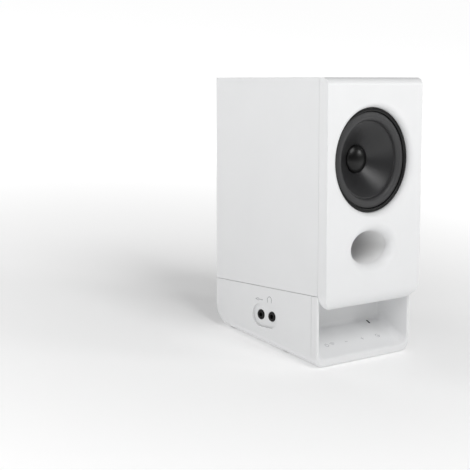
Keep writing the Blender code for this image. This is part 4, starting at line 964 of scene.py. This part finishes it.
def printed(name, strokes, surface, material, width=STROKE):
    """Strokes, each a list of (u, v) points, printed on a surface whose frame is a matrix."""
    bm = bmesh.new()
    for points in strokes:
        points = [Vector(point) for point in points]
        sides = []
        for i, point in enumerate(points):
            ahead = points[min(i + 1, len(points) - 1)] - points[max(i - 1, 0)]
            across = Vector((-ahead.y, ahead.x)).normalized() * width / 2
            sides.append([bm.verts.new((*(point + side * across), INK_RISE)) for side in (1, -1)])
        for (a, b), (c, d) in zip(sides, sides[1:]):
            bm.faces.new((a, b, d, c))
    bmesh.ops.transform(bm, matrix=leaned @ surface, verts=bm.verts)
    bmesh.ops.recalc_face_normals(bm, faces=bm.faces)
    outward = (leaned @ surface).to_3x3() @ Vector((0, 0, 1))
    for face in bm.faces:
        if face.normal.dot(outward) < 0:
            face.normal_flip()
    mesh = bpy.data.meshes.new(name)
    bm.to_mesh(mesh)
    bm.free()
    mesh.materials.append(material)
    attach(placed(name, mesh), "cabinet")


MARK_Y = BASE_SETBACK + 0.0128
mark_floor = Matrix.Translation((0, MARK_Y, floor_at(MARK_Y)))
mark_floor = mark_floor @ Matrix.Rotation(NICHE_SLOPE, 4, "X")
standby = [arc_points((-0.0275, 0), 0.0016, 125, 290), [(-0.0275, 0.0004), (-0.0275, 0.0021)]]
wireless = [arc_points((-0.0214, -0.0014), radius, 40, 100, 10)
            for radius in (0.0010, 0.0021, 0.0032)]
quieter = [[(-0.0084, 0), (-0.0054, 0)]]
louder = [[(0.0090, 0), (0.0120, 0)], [(0.0105, -0.0015), (0.0105, 0.0015)]]
source = [arc_points((0.0275, 0), 0.0018, 60, 290), [(0.0275, 0.0), (0.0302, 0.0)],
          [(0.0284, 0.0008), (0.0275, 0.0), (0.0284, -0.0008)]]
printed("touch_marks", standby + wireless + quieter + louder + source, mark_floor, pale_ink)


# ---- Side sockets ----
# Two 3.5 mm sockets stand in an oval window, each a black barrel with a bright contact sleeve.
# Printed above them are a plug and a pair of headphones.
WINDOW_Y = niche_back + 0.0264
WINDOW_Z = -HEIGHT - 0.421 * BASE_HEIGHT
JACK_PITCH = 0.0125
MARK_INSET = 0.0008
WALL_INSIDE = HALF - HOUSING_WALL
eased("jack_bezel", 0.0004, white_plastic)
jack_black = finish("black socket plastic", (0.006, 0.006, 0.006), 0.55, grain=2500.0,
                    specular=0.3)
for node, y in (("line_in_socket", WINDOW_Y + JACK_PITCH / 2),
                ("headphone_socket", WINDOW_Y - JACK_PITCH / 2)):
    eased(node, 0.00035, jack_black)
    facing = Matrix.Translation((-WALL_INSIDE - GAP, y, WINDOW_Z))
    facing = facing @ Matrix.Rotation(-math.pi / 2, 4, "Z")
    sleeve = turned(node + "_contact", [(0.00165, 0.0032), (0.00178, 0.0030), (0.00178, 0.0060),
                                        (0.0016, 0.0060), (0.0016, 0.0032)], facing, steps=48)
    settle(sleeve, plated_steel)

side_wall = (Matrix.Translation((-HALF, WINDOW_Y, WINDOW_Z))
             @ Matrix.Rotation(-math.pi / 2, 4, "Z") @ Matrix.Rotation(math.pi / 2, 4, "X"))
side_ink = finish("grey ink", (0.33, 0.34, 0.35), 0.5, grain=3000.0)
phones_u = JACK_PITCH / 2 - MARK_INSET
phones = [arc_points((phones_u, 0.0132), 0.0023, -12, 204, 20)]
phones += [[(phones_u + side, 0.0128), (phones_u + side, 0.0108)] for side in (-0.0022, 0.0022)]
u = -phones_u
plug = [[(u - 0.0036, 0.0128), (u - 0.0012, 0.0128), (u - 0.0012, 0.0114), (u - 0.0036, 0.0114),
         (u - 0.0036, 0.0128)], [(u - 0.0012, 0.0121), (u + 0.0034, 0.0121)],
        [(u - 0.0052, 0.0121), (u - 0.0036, 0.0121)]]
printed("socket_marks", phones + plug, side_wall, side_ink, 0.0004)


# ---- Rear connectors ----
# A black plate behind the base carries a power inlet, a round link socket and a USB-C socket.
eased("connector_plate", 0.0003, black_plastic)
for node in ("power_inlet", "link_socket"):
    eased(node, 0.0003, jack_black)
repaint(plated_steel, "usb_socket")


# ---- Circuit boards and parts ----
# Glass-fibre boards with green solder resist carry the amplifier, its heat sink, coils and cans.
def solder_resist():
    """Green resist with paler copper tracks showing through it."""
    material = finish("green solder resist", (0.012, 0.10, 0.045), 0.35, grain=1200.0)
    tree = material.node_tree
    shader = tree.nodes["Principled BSDF"]
    place = next(node for node in tree.nodes if node.type == "TEX_COORD")
    tracks = tree.nodes.new("ShaderNodeTexBrick")
    tracks.inputs["Scale"].default_value = 90.0
    tracks.inputs["Mortar Size"].default_value = 0.06
    tracks.inputs["Color1"].default_value = (0.012, 0.10, 0.045, 1.0)
    tracks.inputs["Color2"].default_value = (0.010, 0.085, 0.040, 1.0)
    tracks.inputs["Mortar"].default_value = (0.03, 0.19, 0.08, 1.0)
    tree.links.new(place.outputs["Object"], tracks.inputs["Vector"])
    tree.links.new(tracks.outputs["Color"], shader.inputs["Base Color"])
    return material


repaint(solder_resist(), "amplifier_board", "jack_board", "touch_board", "terminal_strip")
eased("heat_sink", 0.0002, aluminium)
repaint(cap_coat, "filter_capacitor_1", "filter_capacitor_2")
repaint(copper, "output_coil_1", "output_coil_2")
repaint(plated_steel, "wireless_module")


# ---- Driver leads and grommet ----
# Two sleeved wires run from the driver's tags through a rubber grommet to the amplifier board.
red_sleeve = finish("red wire sleeve", (0.38, 0.02, 0.02), 0.5, grain=1500.0)
repaint(red_sleeve, "driver_lead_red")
repaint(soft_rubber, "driver_lead_black", "wire_grommet")


# ---- Feet ----
# Four thin rubber discs stuck under the base, with a fine cast grain.
foot_rubber = finish("foot rubber", (0.045, 0.045, 0.046), 0.75, grain=1400.0, height=0.00002)
for number in range(1, 5):
    eased(f"rubber_foot_{number}", 0.0002, foot_rubber)
